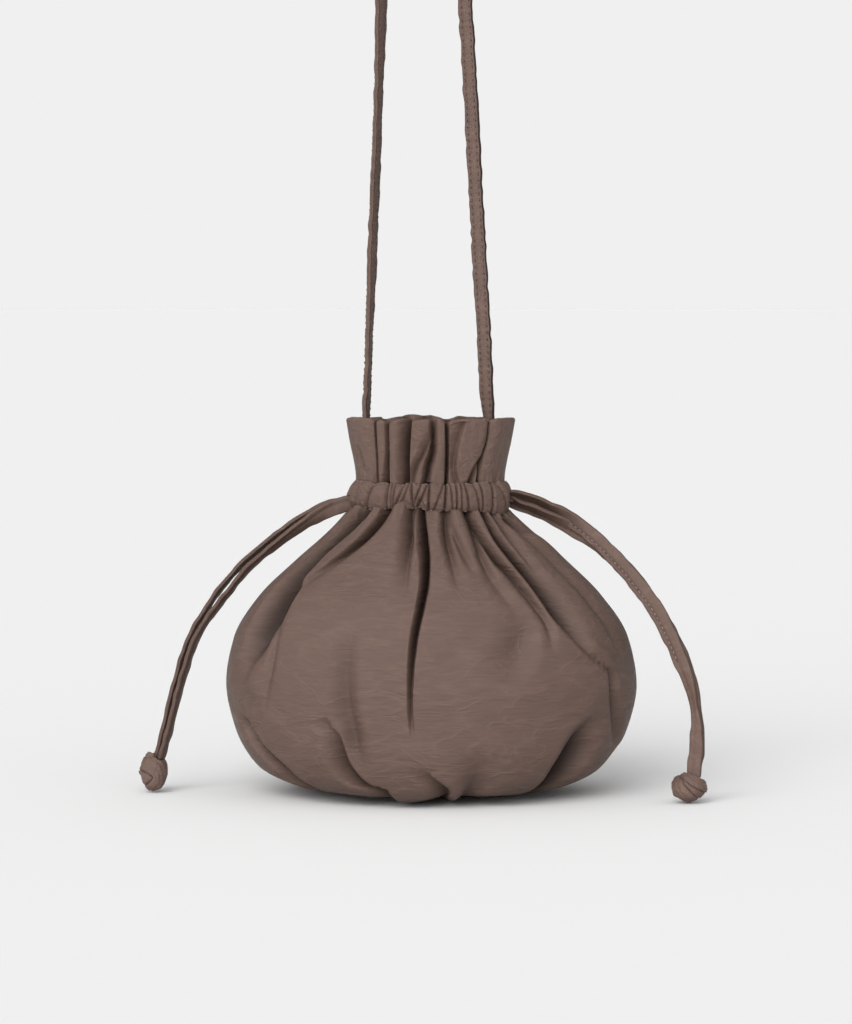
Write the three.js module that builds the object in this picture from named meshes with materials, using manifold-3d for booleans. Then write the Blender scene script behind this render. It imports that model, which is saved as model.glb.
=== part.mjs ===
// A gathered drawstring pouch on a shoulder strap, shown as it hangs from a hook with its base just at floor level.
// Millimetres, +Z up, front towards -Y. The origin is the underside of the strap where it lies over the hook.

import * as THREE from "three";
import { mergeVertices } from "three/addons/utils/BufferGeometryUtils.js";
import Module from "manifold-3d";

const wasm = await Module();
wasm.setup();

// Driving sizes. Heights are measured up from the underside of the base.
const clothWall = 1.8; // outer ply and facing together
const gap = 0.3; // between neighbouring pieces
const bodyTop = 142;
const casingTop = 158;
const frillTop = 189;
const strapDrop = 500; // from the mouth to the middle of the bend over the hook
const strapWidth = 8;
const strapThickness = 2.2;
const strapBend = 6.9; // radius of the strap's middle line over the hook
const strapMiddle = -5.9; // the hook lies this far from the bag's axis, along X
const tapeWidth = 8; // a drawstring's flat tape
const tapeThickness = 2;
const tapeFolded = 5.6; // its width where it is bunched inside the casing
const knotSocket = 0.35; // clearance round the tapes where they enter their knot
const hookHeight = frillTop + strapDrop + strapBend - strapThickness / 2;

// How finely the solids are faceted.
const bodyColumns = 84;
const bodyRows = 13;
const frillColumns = 84;
const casingColumns = 72;
const channelColumns = 30;

// The body's outline from the front and from the side, from the flat underside up to the casing.
const bodySections = [
  { height: 0, halfWidth: 52, halfDepth: 33 },
  { height: 0.9, halfWidth: 61, halfDepth: 39 },
  { height: 5, halfWidth: 74, halfDepth: 48 },
  { height: 14, halfWidth: 87, halfDepth: 56 },
  { height: 32, halfWidth: 98, halfDepth: 64 },
  { height: 55, halfWidth: 102.5, halfDepth: 67 },
  { height: 78, halfWidth: 98.5, halfDepth: 64.5 },
  { height: 98, halfWidth: 87, halfDepth: 57 },
  { height: 117, halfWidth: 68, halfDepth: 44.5 },
  { height: 132, halfWidth: 51, halfDepth: 33.5 },
  { height: bodyTop, halfWidth: 40.5, halfDepth: 26.5 },
];

// The frill flares from the waist above the casing to the open mouth.
const frillSections = [
  { height: casingTop + gap, halfWidth: 36.2, halfDepth: 23.2 },
  { height: 166, halfWidth: 38, halfDepth: 24.6 },
  { height: 177, halfWidth: 40.4, halfDepth: 26.4 },
  { height: frillTop, halfWidth: 42.5, halfDepth: 28 },
];

// The casing is a gathered tube round the neck: this is its middle line, and half its size across.
const casingMiddle = { halfWidth: 36.1, halfDepth: 22.5 };
const casingHeight = (bodyTop + gap + casingTop) / 2;
const casingHalf = { thick: 4.6, tall: (casingTop - bodyTop - gap) / 2 };
const channelHalf = { thick: 2.75, tall: 6.5 };
const casingPleatDepth = 0.8;
const trackOffset = 3.1; // the two drawstrings run one above the other

// Turns are degrees round the bag: 0 is the front, 90 the right side, 180 the back.
// Each fold draws the cloth in by its depth where it starts and fades out where it ends.
const neckFolds = [
  { turn: -78, endTurn: -80, endsAt: 82, depth: 4.5, halfSpread: 9 },
  { turn: -55, endTurn: -63, endsAt: 58, depth: 8, halfSpread: 10 },
  { turn: -39, endTurn: -50, endsAt: 52, depth: 5.5, halfSpread: 8 },
  { turn: -13, endTurn: -10, endsAt: 104, depth: 5.5, halfSpread: 7 },
  { turn: -3, endTurn: -6, endsAt: 34, depth: 9, halfSpread: 8 },
  { turn: 11, endTurn: 12, endsAt: 102, depth: 5, halfSpread: 7 },
  { turn: 29, endTurn: 38, endsAt: 64, depth: 7, halfSpread: 8 },
  { turn: 44, endTurn: 46, endsAt: 94, depth: 4.5, halfSpread: 7 },
  { turn: 54, endTurn: 61, endsAt: 56, depth: 7, halfSpread: 8 },
  { turn: 76, endTurn: 80, endsAt: 84, depth: 4.5, halfSpread: 9 },
  { turn: 98, endTurn: 97, endsAt: 92, depth: 5, halfSpread: 9 },
  { turn: 118, endTurn: 113, endsAt: 60, depth: 8, halfSpread: 10 },
  { turn: 135, endTurn: 131, endsAt: 98, depth: 5, halfSpread: 8 },
  { turn: 150, endTurn: 146, endsAt: 72, depth: 6.5, halfSpread: 8 },
  { turn: 168, endTurn: 171, endsAt: 46, depth: 8, halfSpread: 9 },
  { turn: 184, endTurn: 184, endsAt: 104, depth: 5, halfSpread: 7 },
  { turn: 200, endTurn: 196, endsAt: 58, depth: 7.5, halfSpread: 9 },
  { turn: 218, endTurn: 224, endsAt: 90, depth: 5, halfSpread: 8 },
  { turn: 238, endTurn: 245, endsAt: 56, depth: 7.5, halfSpread: 9 },
  { turn: 259, endTurn: 258, endsAt: 94, depth: 5, halfSpread: 9 },
].map((fold) => ({ ...fold, startsAt: bodyTop }));

const baseFolds = [
  { turn: -56, endTurn: -66, endsAt: 36, depth: 8, halfSpread: 10 },
  { turn: -21, endTurn: -30, endsAt: 38, depth: 7, halfSpread: 9 },
  { turn: 5, endTurn: 1, endsAt: 14, depth: 6, halfSpread: 7 },
  { turn: 17, endTurn: 15, endsAt: 26, depth: 4, halfSpread: 7 },
  { turn: 50, endTurn: 55, endsAt: 40, depth: 8, halfSpread: 10 },
  { turn: 86, endTurn: 84, endsAt: 26, depth: 5, halfSpread: 10 },
  { turn: 118, endTurn: 122, endsAt: 38, depth: 7, halfSpread: 10 },
  { turn: 146, endTurn: 150, endsAt: 24, depth: 6, halfSpread: 8 },
  { turn: 172, endTurn: 168, endsAt: 36, depth: 7, halfSpread: 9 },
  { turn: 201, endTurn: 205, endsAt: 22, depth: 6, halfSpread: 8 },
  { turn: 232, endTurn: 226, endsAt: 38, depth: 7, halfSpread: 10 },
  { turn: 268, endTurn: 270, endsAt: 26, depth: 5, halfSpread: 10 },
].map((fold) => ({ ...fold, startsAt: 0 }));

const bellyFolds = [
  { turn: -25, endTurn: -24, startsAt: 8, endsAt: 92, depth: 4, halfSpread: 9 },
  { turn: 71, endTurn: 61, startsAt: 30, endsAt: 72, depth: 4, halfSpread: 8 },
  { turn: 205, endTurn: 203, startsAt: 12, endsAt: 88, depth: 4, halfSpread: 9 },
];

// The frill's ruffles run its whole height, so their ends lie far below it.
const frillFolds = [
  { turn: -41, endTurn: -43, depth: 6, halfSpread: 6 },
  { turn: -29, endTurn: -28, depth: 6.5, halfSpread: 6 },
  { turn: -13, endTurn: -15, depth: 7, halfSpread: 8 },
  { turn: 2, endTurn: -4, depth: 5.5, halfSpread: 6 },
  { turn: 11, endTurn: 10, depth: 7, halfSpread: 6 },
  { turn: 24, endTurn: 18, depth: 3, halfSpread: 7 },
  { turn: 42, endTurn: 34, depth: 6.5, halfSpread: 6 },
  { turn: 122, endTurn: 126, depth: 6, halfSpread: 7 },
  { turn: 141, endTurn: 140, depth: 6.5, halfSpread: 7 },
  { turn: 158, endTurn: 161, depth: 5.5, halfSpread: 6 },
  { turn: 170, endTurn: 171, depth: 7, halfSpread: 7 },
  { turn: 187, endTurn: 184, depth: 6, halfSpread: 7 },
  { turn: 203, endTurn: 204, depth: 7, halfSpread: 7 },
  { turn: 222, endTurn: 219, depth: 6, halfSpread: 7 },
  { turn: 239, endTurn: 240, depth: 5.5, halfSpread: 7 },
].map((fold) => ({ ...fold, startsAt: frillTop, endsAt: casingTop - 100 }));

// The drawstrings' free ends, from the casing to the knot. Two tapes run together: they lie side by side across
// the spread, and roll says how far their flat sides have turned to the front.
const leftTail = [
  { x: -40.5, y: 0, height: 147, roll: 90, spread: 1.3, width: tapeFolded },
  { x: -45, y: -0.2, height: 146.4, roll: 88, spread: 1.3, width: 6 },
  { x: -52, y: -1, height: 144, roll: 82, spread: 1.3, width: 7 },
  { x: -64, y: -2, height: 137, roll: 55, spread: 1.4, width: tapeWidth },
  { x: -79, y: -3, height: 126, roll: 34, spread: 1.5, width: tapeWidth },
  { x: -93, y: -4, height: 114, roll: 24, spread: 1.8, width: tapeWidth },
  { x: -103.5, y: -4, height: 102, roll: 20, spread: 2, width: tapeWidth },
  { x: -112, y: -4, height: 90, roll: 18, spread: 1.6, width: tapeWidth },
  { x: -119, y: -3, height: 78, roll: 18, spread: 1.4, width: tapeWidth },
  { x: -127, y: -2, height: 54, roll: 16, spread: 1.4, width: 7.5 },
  { x: -133, y: -1, height: 30, roll: 14, spread: 1.3, width: 7 },
  { x: -136.6, y: 0, height: 17, roll: 12, spread: 1.3, width: 6 },
];
const rightTail = [
  { x: 40.5, y: 0, height: 153.3, roll: 90, spread: 1.3, width: tapeFolded },
  { x: 45, y: -0.2, height: 152.5, roll: 86, spread: 1.3, width: 6 },
  { x: 52, y: -1, height: 149.5, roll: 70, spread: 1.3, width: 7 },
  { x: 66, y: -3, height: 139.5, roll: 64, spread: 1.5, width: tapeWidth },
  { x: 83.5, y: -6, height: 126.5, roll: 78, spread: 1.5, width: tapeWidth },
  { x: 95.5, y: -9, height: 115, roll: 86, spread: 1.4, width: tapeWidth },
  { x: 105.5, y: -13, height: 103, roll: 88, spread: 1.4, width: tapeWidth },
  { x: 113.5, y: -17, height: 91.5, roll: 84, spread: 1.4, width: tapeWidth },
  { x: 124.5, y: -25, height: 68.5, roll: 70, spread: 1.4, width: tapeWidth },
  { x: 130, y: -31, height: 45, roll: 58, spread: 1.4, width: 7.5 },
  { x: 130.2, y: -34, height: 28, roll: 66, spread: 1.3, width: 7 },
  { x: 128.8, y: -35, height: 14.5, roll: 70, spread: 1.3, width: 6 },
];

// The strap's two legs, from the ends sewn inside the mouth up to the bend over the hook.
const leftLeg = [
  { x: -32.6, height: 161, roll: 0 },
  { x: -32.4, height: 176, roll: 6 },
  { x: -32, height: 192, roll: 14 },
  { x: -30.4, height: 236, roll: 12 },
  { x: -27.3, height: 316, roll: 22 },
  { x: -24.2, height: 397, roll: 32 },
  { x: -18.4, height: 545, roll: 12 },
];
const rightLeg = [
  { x: 8.9, height: 545, roll: 50 },
  { x: 17.3, height: 397, roll: 80 },
  { x: 21.9, height: 316, roll: 74 },
  { x: 26.4, height: 236, roll: 82 },
  { x: 28.9, height: 192, roll: 52 },
  { x: 30.6, height: 177, roll: 18 },
  { x: 32.4, height: 161, roll: 0 },
];

// The knots: a ball of tape with wraps drawn round it at these tilts, in degrees.
const knots = {
  left: { x: -139.3, y: 0, height: 10.4, size: [14.6, 14.4, 20], wraps: [[90, 25, 0], [50, -38, 20]] },
  right: { x: 127.4, y: -36, height: 8.7, size: [18.4, 16, 16.6], wraps: [[70, 42, 0], [80, -40, 15]] },
};

const cloth = new THREE.MeshStandardMaterial({ color: 0x77635b, roughness: 0.62, metalness: 0 });
const tapeCloth = new THREE.MeshStandardMaterial({ color: 0x7a665e, roughness: 0.6, metalness: 0 });

// A closed surface through a row of rings with equal numbers of points. With two poles its ends close on them,
// and without poles the last ring runs back into the first.
function loft(rings, poles) {
  const columns = rings[0].length;
  const positions = rings.flat().concat(poles ?? []).flatMap((p) => p.toArray());
  const index = [];
  const at = (ring, column) => (ring % rings.length) * columns + (column % columns);
  const spans = poles ? rings.length - 1 : rings.length;
  for (let ring = 0; ring < spans; ring++)
    for (let column = 0; column < columns; column++) {
      const [a, b] = [at(ring, column), at(ring, column + 1)];
      const [c, d] = [at(ring + 1, column + 1), at(ring + 1, column)];
      index.push(a, b, c, a, c, d);
    }
  if (poles) {
    const [first, last] = [rings.length * columns, rings.length * columns + 1];
    for (let column = 0; column < columns; column++) {
      index.push(first, at(0, column + 1), at(0, column));
      index.push(last, at(rings.length - 1, column), at(rings.length - 1, column + 1));
    }
  }
  return new THREE.BufferGeometry()
    .setAttribute("position", new THREE.Float32BufferAttribute(positions, 3))
    .setIndex(index);
}

function solidOf(geometry) {
  const bare = new THREE.BufferGeometry().setAttribute("position", geometry.getAttribute("position").clone());
  if (geometry.index) bare.setIndex(geometry.index.clone());
  const merged = mergeVertices(bare, 1e-4);
  return new wasm.Manifold(
    new wasm.Mesh({
      numProp: 3,
      vertProperties: new Float32Array(merged.attributes.position.array),
      triVerts: new Uint32Array(merged.index.array),
    }),
  );
}

function geometryOf(solid) {
  const mesh = solid.getMesh();
  return new THREE.BufferGeometry()
    .setAttribute("position", new THREE.BufferAttribute(mesh.vertProperties, 3))
    .setIndex(new THREE.BufferAttribute(mesh.triVerts, 1));
}

const turnsOf = (columns) => Array.from({ length: columns }, (_, column) => (360 * column) / columns);

function degreesApart(a, b) {
  return Math.abs(THREE.MathUtils.euclideanModulo(a - b + 180, 360) - 180);
}

// How far the folds draw the cloth in at one turn and height.
function drawnIn(folds, turn, height) {
  let sum = 0;
  for (const fold of folds) {
    const along = THREE.MathUtils.clamp((height - fold.endsAt) / (fold.startsAt - fold.endsAt), 0, 1);
    const middle = THREE.MathUtils.lerp(fold.endTurn, fold.turn, along);
    const away = degreesApart(turn, middle) / fold.halfSpread;
    if (away < 1) sum += fold.depth * Math.sin((along * Math.PI) / 2) * (1 - away) ** 1.5;
  }
  return sum;
}

// A point of an oval section, moved in from it squarely.
function ovalPoint(turn, section, inset) {
  const angle = THREE.MathUtils.degToRad(turn);
  const [s, c] = [Math.sin(angle), Math.cos(angle)];
  const out = new THREE.Vector2(s / section.halfWidth, -c / section.halfDepth).normalize();
  return new THREE.Vector3(
    section.halfWidth * s - out.x * inset,
    -section.halfDepth * c - out.y * inset,
    section.height,
  );
}

// Rows of sections along an outline, with the same rows set in by the wall's thickness.
function wallSections(table, rows) {
  const curve = new THREE.CatmullRomCurve3(
    table.map((s) => new THREE.Vector3(s.halfWidth, s.halfDepth, s.height)),
  );
  return Array.from({ length: rows + 1 }, (_, row) => {
    const place = curve.getPointAt(row / rows);
    const slope = curve.getTangentAt(row / rows);
    const out = new THREE.Vector2(slope.z, -slope.x).normalize();
    return {
      outer: { halfWidth: place.x, halfDepth: place.y, height: place.z },
      inner: {
        halfWidth: place.x - out.x * clothWall,
        halfDepth: place.y - out.x * clothWall,
        height: place.z - out.y * clothWall,
      },
      foldsAt: place.z,
    };
  });
}

function wallRings(sections, folds, columns) {
  const ring = (section, foldsAt) =>
    turnsOf(columns).map((turn) => ovalPoint(turn, section, drawnIn(folds, turn, foldsAt)));
  return {
    outer: sections.map((s) => ring(s.outer, s.foldsAt)),
    inner: sections.map((s) => ring(s.inner, s.foldsAt)).reverse(),
  };
}

// The bag: a gathered wall with a flat closed bottom, open at the neck.
function bagBody() {
  const folds = [...neckFolds, ...baseFolds, ...bellyFolds];
  const sections = wallSections(bodySections, bodyRows);
  const { outer, inner } = wallRings(sections, folds, bodyColumns);
  const poles = [new THREE.Vector3(0, 0, 0), new THREE.Vector3(0, 0, clothWall)];
  return loft([...outer, ...inner], poles);
}

function frill() {
  const rows = 4;
  const { outer, inner } = wallRings(wallSections(frillSections, rows), frillFolds, frillColumns);
  return loft([...outer, ...inner]);
}

// A closed tube round the neck, whose section is a rounded box. Its outer side is gathered in pleats.
function neckTube(half, columns, rounding, pleatDepth) {
  const corners = 8;
  const eased = (value) => Math.sign(value) * Math.abs(value) ** rounding;
  const rings = Array.from({ length: corners }, (_, corner) => {
    const angle = (2 * Math.PI * corner) / corners;
    const [across, up] = [half.thick * eased(Math.cos(angle)), half.tall * eased(Math.sin(angle))];
    const section = { ...casingMiddle, height: casingHeight + up };
    return turnsOf(columns).map((turn) => {
      const pleat = pleatDepth * Math.min(1, drawnIn(neckFolds, turn, bodyTop) / 4) * Math.max(0, Math.cos(angle));
      return ovalPoint(turn, section, pleat - across);
    });
  });
  return solidOf(loft(rings));
}

// The casing: a gathered tube with a channel for the drawstrings and a slit on each side where their ends come out.
function casing() {
  const slit = { width: 9, depth: 12, height: tapeFolded + 1.6 };
  const slitAt = (side, height) => {
    const box = new THREE.BoxGeometry(slit.width, slit.depth, slit.height);
    box.translate(side * (casingMiddle.halfWidth + slit.width / 2 - 0.5), 0, height);
    return solidOf(box);
  };
  const tube = neckTube(casingHalf, casingColumns, 0.75, casingPleatDepth)
    .subtract(neckTube(channelHalf, channelColumns, 0.4, 0))
    .subtract(slitAt(-1, casingHeight - trackOffset))
    .subtract(slitAt(1, casingHeight + trackOffset));
  return geometryOf(tube);
}

// A flat tape swept along a route. Each row of the route has its place, the direction across the tape and its width.
function tape(route, thickness, stepsPerRow) {
  const places = new THREE.CatmullRomCurve3(route.map((r) => r.place));
  const across = new THREE.CatmullRomCurve3(route.map((r) => r.across));
  const widths = new THREE.CatmullRomCurve3(route.map((r) => new THREE.Vector3(r.width, 0, 0)));
  const steps = (route.length - 1) * stepsPerRow;
  const rings = Array.from({ length: steps + 1 }, (_, step) => {
    const share = step / steps;
    const along = places.getTangent(share);
    const wide = across.getPoint(share).projectOnPlane(along).normalize();
    const thin = along.clone().cross(wide);
    const half = widths.getPoint(share).x / 2;
    const shoulder = half - thickness / 4;
    const outline = [
      [half, 0], [shoulder, thickness / 2], [-shoulder, thickness / 2],
      [-half, 0], [-shoulder, -thickness / 2], [shoulder, -thickness / 2],
    ];
    const middle = places.getPoint(share);
    return outline.map(([w, t]) => middle.clone().addScaledVector(wide, w).addScaledVector(thin, t));
  });
  return loft(rings, [places.getPoint(0), places.getPoint(1)]);
}

// The direction across a tape that runs in the plane seen from the front, turned by roll towards that plane.
function acrossAt(along, roll) {
  const angle = THREE.MathUtils.degToRad(roll);
  const depthward = new THREE.Vector3(0, 1, 0).projectOnPlane(along).normalize();
  const inPlane = depthward.clone().cross(along);
  return depthward.multiplyScalar(Math.cos(angle)).addScaledVector(inPlane, Math.sin(angle));
}

// One of a tail's two tapes: strand -1 is the front one at the casing, 1 the back one. Side is -1 for the left tail.
function tailRoute(rows, side, strand) {
  const places = rows.map((r) => new THREE.Vector3(r.x, r.y, r.height));
  const middle = new THREE.CatmullRomCurve3(places);
  return rows.map((row, i) => {
    const along = middle.getTangent(i / (rows.length - 1));
    const across = acrossAt(along, row.roll);
    const apart = along.clone().cross(across).multiplyScalar(strand * row.spread);
    return { place: places[i].clone().add(apart), across: across.multiplyScalar(-side), width: row.width };
  });
}

// The stretch of a drawstring that runs round the neck inside the casing, from the front of its slit to the back.
function loopRoute(side, height) {
  const [firstTurn, sweep, rows] = [66, 312, 12];
  return Array.from({ length: rows + 1 }, (_, row) => {
    const turn = side * (firstTurn - (sweep * row) / rows);
    const place = ovalPoint(turn, { ...casingMiddle, height }, 0);
    return { place, across: new THREE.Vector3(0, 0, 1), width: tapeFolded };
  });
}

// A whole drawstring: in from its front end, once round the neck, and out again to its back end.
function drawstringRoute(tail, side) {
  const front = tailRoute(tail, side, -1).reverse();
  const back = tailRoute(tail, side, 1);
  return [...front, ...loopRoute(side, tail[0].height), ...back];
}

const drawstring = (tail, side) => tape(drawstringRoute(tail, side), tapeThickness, 2);

// A knot: a ball with wraps of tape, hollowed where its two tapes go in.
function knot({ x, y, height, size, wraps }, tail, side) {
  const ball = solidOf(new THREE.SphereGeometry(0.45, 9, 6));
  const wound = wraps.reduce((made, [tiltX, tiltY, tiltZ]) => {
    const wrap = new THREE.TorusGeometry(0.35, 0.16, 5, 10);
    const tilt = new THREE.Euler(...[tiltX, tiltY, tiltZ].map(THREE.MathUtils.degToRad));
    return made.add(solidOf(wrap.applyMatrix4(new THREE.Matrix4().makeRotationFromEuler(tilt))));
  }, ball);
  const placed = geometryOf(wound).scale(...size).translate(x, y, height);
  const sockets = [-1, 1].map((strand) => {
    const ends = tailRoute(tail, side, strand).slice(-2);
    const wider = ends.map((r) => ({ ...r, width: r.width + 2 * knotSocket }));
    const run = wider[1].place.clone().sub(wider[0].place).setLength(knotSocket);
    wider[1].place = wider[1].place.clone().add(run);
    return solidOf(tape(wider, tapeThickness + 2 * knotSocket, 2));
  });
  return geometryOf(sockets.reduce((made, socket) => made.subtract(socket), solidOf(placed)));
}

function strap() {
  const bendRows = 6;
  const bend = Array.from({ length: bendRows + 1 }, (_, row) => {
    const angle = (Math.PI * row) / bendRows;
    const x = strapMiddle - strapBend * Math.cos(angle);
    return { x, height: frillTop + strapDrop + strapBend * Math.sin(angle), roll: 0 };
  });
  const rows = [...leftLeg, ...bend, ...rightLeg];
  const places = rows.map((r) => new THREE.Vector3(r.x, 0, r.height));
  const middle = new THREE.CatmullRomCurve3(places);
  const route = rows.map((row, i) => {
    const along = middle.getTangent(i / (rows.length - 1));
    return { place: places[i], across: acrossAt(along, row.roll), width: strapWidth };
  });
  return tape(route, strapThickness, 2);
}

const pieces = {
  bag_body: [bagBody(), cloth],
  casing: [casing(), cloth],
  frill: [frill(), cloth],
  drawstring_left: [drawstring(leftTail, -1), tapeCloth],
  drawstring_right: [drawstring(rightTail, 1), tapeCloth],
  knot_left: [knot(knots.left, leftTail, -1), tapeCloth],
  knot_right: [knot(knots.right, rightTail, 1), tapeCloth],
  strap: [strap(), tapeCloth],
};

const pouch = new THREE.Group();
pouch.position.set(-strapMiddle, 0, -hookHeight);
for (const [name, [geometry, material]] of Object.entries(pieces)) {
  const mesh = new THREE.Mesh(geometry, material);
  mesh.name = name;
  pouch.add(mesh);
}

const part = new THREE.Group();
part.add(pouch);
export default part;
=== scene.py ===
import math

import bmesh
import bpy
import numpy as np
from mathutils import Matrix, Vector, noise


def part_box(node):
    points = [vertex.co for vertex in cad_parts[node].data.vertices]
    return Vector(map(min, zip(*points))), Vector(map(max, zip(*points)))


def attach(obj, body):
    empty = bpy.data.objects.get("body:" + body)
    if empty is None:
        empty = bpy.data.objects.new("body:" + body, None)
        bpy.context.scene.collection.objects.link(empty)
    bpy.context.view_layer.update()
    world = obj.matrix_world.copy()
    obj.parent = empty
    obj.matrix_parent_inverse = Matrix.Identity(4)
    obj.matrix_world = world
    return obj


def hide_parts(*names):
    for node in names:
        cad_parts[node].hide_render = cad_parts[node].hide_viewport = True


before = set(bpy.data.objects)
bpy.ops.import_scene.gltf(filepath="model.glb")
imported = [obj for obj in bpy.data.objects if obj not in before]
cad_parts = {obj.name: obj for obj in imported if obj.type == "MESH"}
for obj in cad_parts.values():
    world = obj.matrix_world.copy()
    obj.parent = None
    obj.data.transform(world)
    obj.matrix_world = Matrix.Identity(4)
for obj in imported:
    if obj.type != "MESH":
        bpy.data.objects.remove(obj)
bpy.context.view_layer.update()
print("frame loaded")

# Places are in the bag's own millimetres: x from its axis, y away from the front, z up from the base.
# Turns are degrees round the bag from the front, and grow to the right.
mm = 0.001
bodyLow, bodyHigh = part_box("bag_body")
axisX = (bodyLow.x + bodyHigh.x) / 2
baseZ = bodyLow.z
weaveGirth = 560  # flat cloth once round the bag, which the weave is measured on


def place(points):
    return np.asarray(points, float) * mm + np.array([axisX, 0, baseZ])


def sceneObject(name, data):
    obj = bpy.data.objects.new(name, data)
    bpy.context.scene.collection.objects.link(obj)
    return obj


# One camera, as far off and as high as the photo's
view = {
    "distance": 1800, "height": 275, "aside": -2.25, "pitch": 4.25, "focalPixels": 3600, "imageWidth": 852,
    "sensorWidth": 36, "farthest": 50,
}


def makeCamera():
    data = bpy.data.cameras.new("camera")
    data.sensor_fit = "HORIZONTAL"
    data.sensor_width = view["sensorWidth"]
    data.lens = view["focalPixels"] / view["imageWidth"] * data.sensor_width
    data.clip_end = view["farthest"]
    camera = sceneObject("camera", data)
    camera.location = place([view["aside"], -view["distance"], view["height"]])
    camera.rotation_euler = (math.radians(90 - view["pitch"]), 0, 0)
    bpy.context.scene.camera = camera


makeCamera()


# Small tools

def unit(rows):  # each row made as long as 1
    return rows / np.linalg.norm(rows, axis=1)[:, None]


def totals(steps):  # 0, and the sum after each step
    return np.concatenate([[0], np.cumsum(steps)])


def runAlong(points):  # the way along the line to each of its points
    return totals(np.linalg.norm(np.diff(points, axis=0), axis=1))


def halfTurn(turn):  # the same turn, from -180 to 180
    return (turn + 180) % 360 - 180


def easeThrough(stations, values, at):  # smooth curve through a few rows, with no overshoot
    stations = np.asarray(stations, float)
    values = np.asarray(values, float)
    step = np.diff(stations)
    rise = np.diff(values) / step
    slope = np.zeros(len(stations))
    same = rise[1:] * rise[:-1] > 0
    total = np.where(same, rise[1:] + rise[:-1], 1)
    slope[1:-1] = np.where(same, 2 * rise[1:] * rise[:-1] / total, 0)
    slope[0] = rise[0]
    slope[-1] = rise[-1]
    i = np.clip(np.searchsorted(stations, at) - 1, 0, len(step) - 1)
    t = np.clip((at - stations[i]) / step[i], 0, 1)
    low = (1 + 2 * t) * (1 - t) ** 2 * values[i] + t * (1 - t) ** 2 * step[i] * slope[i]
    high = t * t * (3 - 2 * t) * values[i + 1] + t * t * (t - 1) * step[i] * slope[i + 1]
    return low + high


def fromTable(rows, at):  # rows of a station and its value
    stations, values = np.array(rows, float).T
    return easeThrough(stations, values, at)


def smoothRoute(rows, count):  # rows of numbers, the first three a place, sampled evenly along the curve
    rows = np.asarray(rows, float)
    finePerRow = 40
    t = totals(np.linalg.norm(np.diff(rows[:, :3], axis=0), axis=1) ** 0.5)
    slope = np.gradient(rows, t, axis=0)
    fine = np.linspace(0, t[-1], finePerRow * len(rows))

    def at(x):
        i = np.clip(np.searchsorted(t, x) - 1, 0, len(t) - 2)
        h = (t[i + 1] - t[i])[:, None]
        s = ((x - t[i]) / (t[i + 1] - t[i]))[:, None]
        return (
            (1 + 2 * s) * (1 - s) ** 2 * rows[i] + s * (1 - s) ** 2 * h * slope[i]
            + s * s * (3 - 2 * s) * rows[i + 1] + s * s * (s - 1) * h * slope[i + 1]
        )

    run = runAlong(at(fine)[:, :3])
    return at(np.interp(np.linspace(0, run[-1], count), run, fine)), run[-1]


def tapeRoute(rows, step):  # a route in even steps, its direction at each, and its length
    _, length = smoothRoute(rows, 2)
    samples, _ = smoothRoute(rows, int(length / step))
    return samples, unit(np.gradient(samples[:, :3], axis=0)), length


def softNoise(turn, cells, seed):  # smooth random values once round the bag, about -1 to 1
    values = np.random.default_rng(seed).uniform(-1, 1, cells)
    return easeThrough(np.linspace(-180, 180, cells + 1), np.append(values, values[0]), halfTurn(turn))


def meshPiece(name, points, faces, weave, deep=None):  # weave is where a point lies in the flat cloth, in mm
    mesh = bpy.data.meshes.new(name)
    mesh.from_pydata(place(points).tolist(), [], faces)
    bm = bmesh.new()
    bm.from_mesh(mesh)
    bmesh.ops.recalc_face_normals(bm, faces=bm.faces[:])
    bm.to_mesh(mesh)
    bm.free()
    mesh.shade_smooth()
    layer = mesh.attributes.new("weave", "FLOAT_VECTOR", "POINT")
    layer.data.foreach_set("vector", np.asarray(weave, np.float32).ravel())
    if deep is not None:  # how much shade is painted into its colour, 0 to 1, most down in folds
        layer = mesh.attributes.new("deep", "FLOAT", "POINT")
        layer.data.foreach_set("value", np.asarray(deep, np.float32).ravel())
    return sceneObject(name, mesh)


def applyModifiers(obj):
    bpy.context.view_layer.objects.active = obj
    for modifier in list(obj.modifiers):
        bpy.ops.object.modifier_apply(modifier=modifier.name)


def ringFaces(rings, columns, wrap):  # quads between rings that close round their columns
    i = np.arange(rings if wrap else rings - 1)[:, None]
    j = np.arange(columns)[None, :]
    nextRow = (i + 1) % rings
    nextColumn = (j + 1) % columns
    quads = np.stack([
        i * columns + j, i * columns + nextColumn, nextRow * columns + nextColumn, nextRow * columns + j,
    ], -1)
    return quads.reshape(-1, 4).tolist()


def ringPiece(name, rings, weave, poles=None, wrap=False, deep=None):
    rings = np.asarray(rings, float)
    count, columns = rings.shape[:2]
    points = rings.reshape(-1, 3)
    flat = np.asarray(weave, float).reshape(-1, 3)
    faces = ringFaces(count, columns, wrap)
    if poles is not None:
        first = len(points)
        last = first + 1
        points = np.vstack([points, poles])
        flat = np.vstack([flat, flat[0], flat[-1]])
        deep = None if deep is None else np.append(np.ravel(deep), [0, 0])
        end = (count - 1) * columns
        faces += [[first, (j + 1) % columns, j] for j in range(columns)]
        faces += [[last, end + j, end + (j + 1) % columns] for j in range(columns)]
    return meshPiece(name, points, faces, flat, deep)


def ovalPlace(turn, halfWidth, halfDepth, height, inset):  # a place on an oval, drawn in squarely
    angle = np.radians(turn)
    outX = np.sin(angle) / halfWidth
    outY = -np.cos(angle) / halfDepth
    length = np.hypot(outX, outY)
    x = halfWidth * np.sin(angle) - outX / length * inset
    y = -halfDepth * np.cos(angle) - outY / length * inset
    return np.stack([x, y, height + 0 * x], -1)


def weaveRows(turn, lengths):  # where the rings of a cloth tube lie in the flat cloth
    return [np.stack([turn / 360 * weaveGirth, np.full_like(turn, run), 0 * turn], 1) for run in lengths]
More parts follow.
